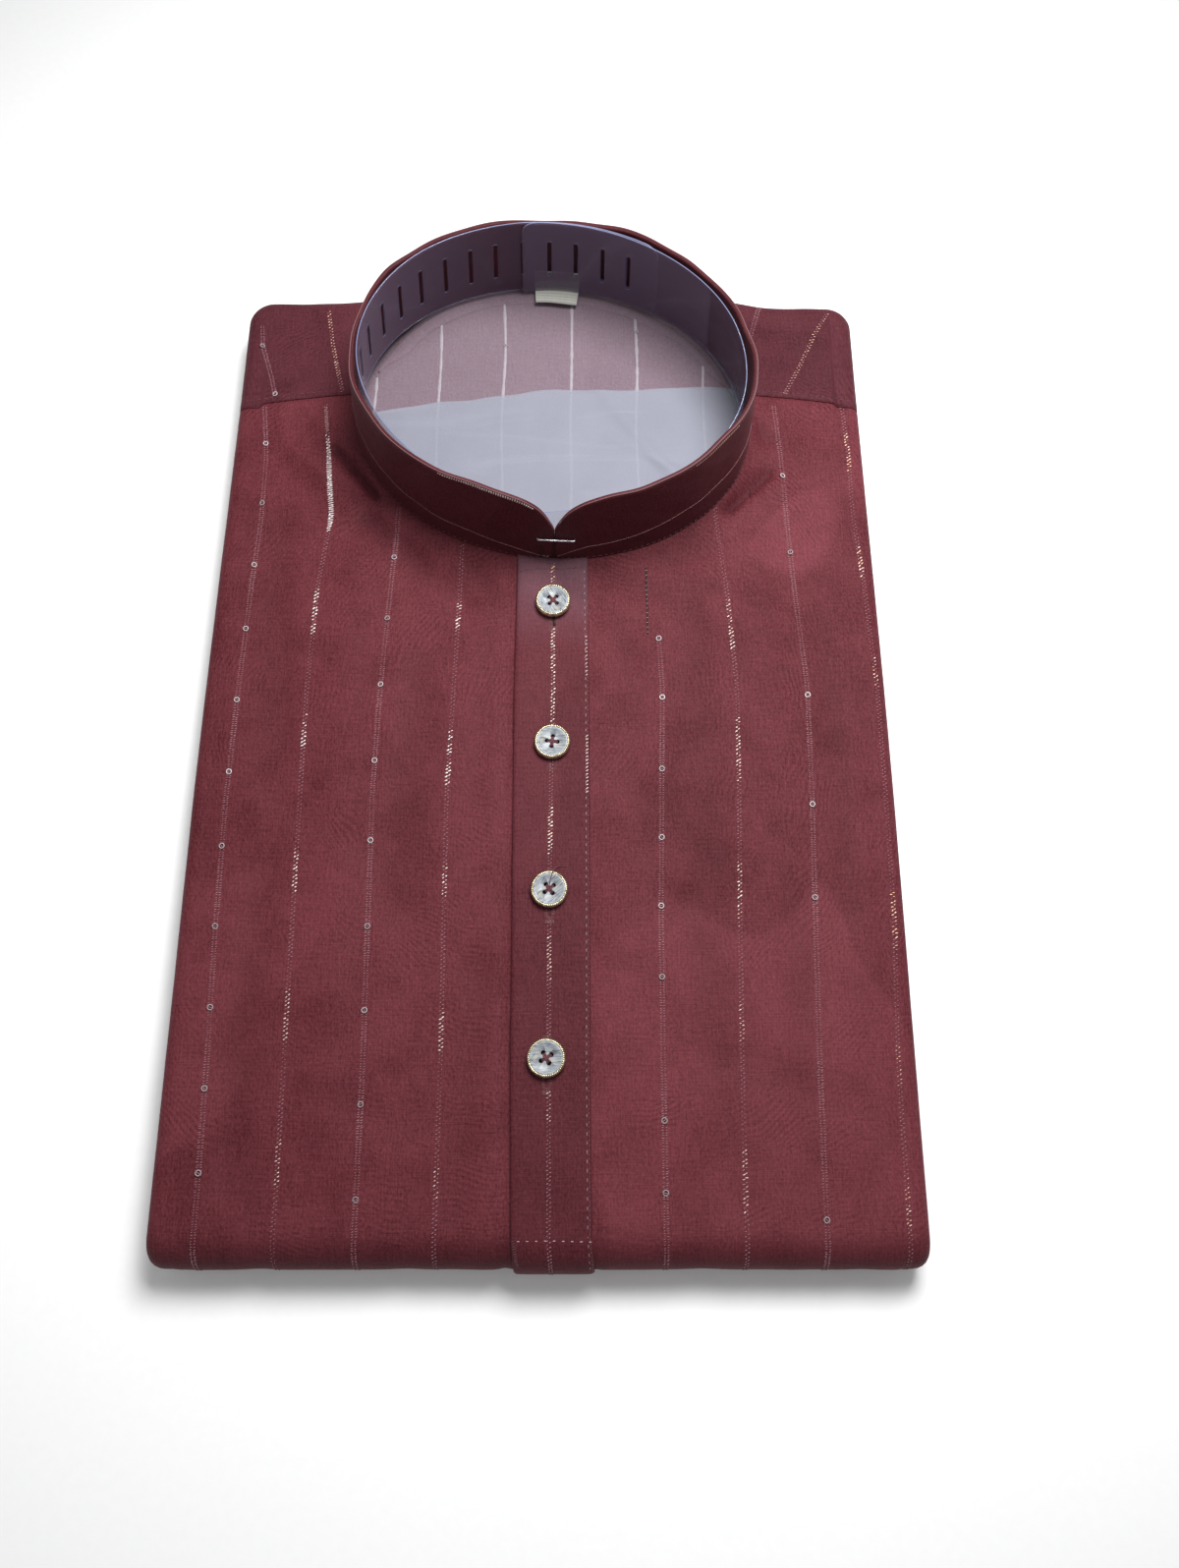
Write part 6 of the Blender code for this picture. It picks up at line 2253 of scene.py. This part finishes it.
@dataclass
class ReverseStripes:
    """Pale floats of the woven stripes on the inside of the back, with a few knots."""

    inner: InnerBack
    places: tuple[float, ...] = (-68.3, -43.2, -17.8, 9.0, 34.6, 60.9)
    knots: tuple[tuple[float, float], ...] = ((-17.4, 158.5), (34.9, 163.0))

    def tape(self, number: int) -> Shape:
        """One float: a half round tape from the neck seam down under the front, of uneven width."""
        angle, x0 = np.linspace(0.05, math.pi - 0.05, 600), self.places[number]
        back_x, back_y = NECK.ring(angle, 3)
        front_x, front_y = NECK.ring(angle + math.pi, -4)
        y = np.linspace(np.interp(x0, back_x[::-1], back_y[::-1]), np.interp(x0, front_x, front_y), 120)
        y = y[:, None]
        place = np.linspace(-1, 1, 6)
        width = 0.56 + 0.09 * ripple(y, 0, 60 + number, 6)
        x = x0 + 0.35 * ripple(y, 0, 50 + number, 40) + width * place
        rise = 0.24 * np.sqrt(np.maximum(1 - place**2, 0)) + 0.02
        return as_grid(self.inner.point(x, np.broadcast_to(y, x.shape)) + stack(0, 0, rise))

    def floats(self) -> bpy.types.Object:
        """Every tape, and the knots as three crossed stitches each."""
        threads = Threads("reverse_stripes", REVERSE_FLOATS)
        for number in range(len(self.places)):
            threads.keep(self.tape(number), 0.02, 0.3)
        across, along, out = np.eye(3)[:, None]
        for x, y in self.knots:
            spot = Frames(self.inner.point(np.array([x]), np.array([y])) + (0, 0, 0.35), across, along, out)
            for angle in (0.2, 1.3, 2.3):
                threads.set(stitch_shape(), spot.turned(angle), np.array([0.95, 0.3, 0.3]), 0.05, 0.2)
        return threads.piece()


# ---- studio


@dataclass(frozen=True)
class Studio:
    """Pale board, soft light and the camera above the hem."""

    camera_at: tuple[float, float, float] = (16.05, -153.75, 417.0)
    camera_pitch: float = math.radians(17.8)
    lens: float = 27.29
    sensor: float = 36.0
    aim: tuple[float, float, float] = (0.0, 20.0, 20.0)
    spread: float = math.radians(162)
    world: float = 0.35
    sky: Colour = (0.97, 0.98, 1.0)
    key: float = 3.65
    fill: float = 0.25
    board_reach: float = 2000.0

    def area(self, name: str, place: tuple[float, float, float], size: float,
             power: float) -> bpy.types.Light:
        """A square soft light aimed at the pack's upper half.

        Args:
            name: the light's name.
            place: where it stands.
            size: length of its side.
            power: its power in watts.
        """
        data = bpy.data.lights.new(name, "AREA")
        data.energy, data.size = power, size * MM
        lamp = bpy.data.objects.new(name, data)
        lamp.location = np.array(place) * MM
        x, y, z = np.array(self.aim) - np.array(place)
        lamp.rotation_euler = (math.atan2(math.hypot(x, y), -z), 0, math.atan2(y, x) - math.pi / 2)
        bpy.context.scene.collection.objects.link(lamp)
        return data

    def camera(self) -> None:
        """The camera, tipped up from straight down."""
        data = bpy.data.cameras.new("camera")
        data.lens, data.sensor_width = self.lens, self.sensor
        camera = bpy.data.objects.new("camera", data)
        camera.location = np.array(self.camera_at) * MM
        camera.rotation_euler = (self.camera_pitch, 0, 0)
        bpy.context.scene.collection.objects.link(camera)
        bpy.context.scene.camera = camera

    def build(self) -> None:
        """World, lights and camera."""
        world = bpy.data.worlds.new("soft_room")
        world.use_nodes = True
        back = world.node_tree.nodes["Background"]
        back.inputs["Color"].default_value = opaque(self.sky)
        back.inputs["Strength"].default_value = self.world
        bpy.context.scene.world = world
        self.area("key", (110, 165, 480), 240, self.key).spread = self.spread
        self.area("fill", (-420, -300, 520), 600, self.fill)
        self.camera()
        bpy.context.scene.view_settings.view_transform = "Standard"

    def floor(self) -> bpy.types.Object:
        """The board under the pack, with its top at the surface."""
        corners = np.array([(-1, -1, 0), (1, -1, 0), (1, 1, 0), (-1, 1, 0)]) * self.board_reach
        return build("board", (corners, [np.array([[0, 1, 2, 3]])]), PALE_BOARD)


# ---- the whole tunic


class Held(Enum):
    """How a sheet of cloth is held."""

    LAID = "laid"
    FOLDED = "folded"


@dataclass(frozen=True)
class Cut:
    """One cloth piece: its flat size in millimetres, how it is held, and its share of that rectangle."""

    width: float
    length: float
    held: Held
    share: float


CUTS = {
    "front_cloth": Cut(290, 745, Held.FOLDED, 0.93),
    "yoke_cloth": Cut(290, 78, Held.FOLDED, 0.55),
    "placket_cloth": Cut(27.5, 285, Held.LAID, 0.97),
    "collar_cloth": Cut(425, 76, Held.FOLDED, 0.97),
    "back_inside": Cut(168, 130, Held.LAID, 0.80),
    "neck_binding": Cut(142, 10, Held.LAID, 0.66),
    "label_ribbon": Cut(18.4, 26, Held.FOLDED, 1),
    "folded_back": Cut(860, 54, Held.FOLDED, 0.95),
    "folded_sleeves": Cut(860, 54, Held.FOLDED, 0.95),
    "folded_hem": Cut(860, 54, Held.FOLDED, 0.95),
}


@dataclass
class Group:
    """The pieces that stand for one solid, the first of them its cloth or body."""

    node: str
    slot: str
    pieces: list[bpy.types.Object]
    rests_on: tuple[str, ...] = ()

    def tell(self) -> None:
        for piece in self.pieces:
            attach(piece, "root")
            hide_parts(self.node)
        trims = [piece for piece in self.pieces if piece.name not in CUTS]
        for piece in self.pieces:
            if piece.name in CUTS:
                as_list(self.rests_on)
                trims = []
        LOG.info("%s: %s", self.node, ", ".join(piece.name for piece in self.pieces))


def groups() -> list[Group]:
    """Builds every piece, grouped by the solid that it stands for."""
    placket, inner, collar, layers = PlacketStrip(), InnerBack(), Collar(), FoldedLayers()
    stripes, sewing, buttons = Stripes(placket, collar), Stitching(placket, collar), Buttons(placket)
    front, woven = Front().cloth(), [stripe.piece(seed) for seed, stripe in enumerate(STRIPES)]
    made = [
        Group("front", "front_cloth", [front, *woven, stripes.sequins()], ("folded_back",)),
        Group("yoke", "yoke_cloth", [Yoke().cloth(), stripes.yoke(), sewing.dark()], ("folded_back",)),
        Group("collar", "collar_cloth",
              [collar.cloth(), collar.piping(), stripes.along_collar(), sewing.slit()],
              ("front_cloth", "yoke_cloth")),
        Group("placket", "placket_cloth",
              [placket.cloth(), stripes.down_placket(), sewing.light(), buttons.buttonholes()],
              ("front_cloth",)),
        Group("folded_layers", "folded_cloth", [layers.layer(number) for number in range(3)],
              ("front_cloth",)),
        Group("back", "back_inside", [inner.cloth(), ReverseStripes(inner).floats()], ("folded_back",)),
        Group("neck_strip", "neck_strip", [inner.binding()], ("back_inside",)),
        Group("neck_label", "label_ribbon", [NeckLabel().ribbon()], ("neck_binding",)),
        Group("packing_film", "packing_film", [PackingSheet(inner).sheet()]),
        Group("collar_band", "clear_band", [ClearBand().sheet()]),
        Group("collar_pin", "pin_steel", [Pin().wire()]),
    ]
    discs = buttons.pieces()
    discs[0].append(buttons.sewing())
    return made + [Group(place.node, "button_shell", pieces) for place, pieces in zip(BUTTONS, discs)]


def main() -> None:
    logging.basicConfig(level=logging.INFO, format="%(message)s")
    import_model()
    for group in groups():
        group.tell()
    studio = Studio()
    studio.floor()
    studio.build()


if __name__ == "__main__":
    main()
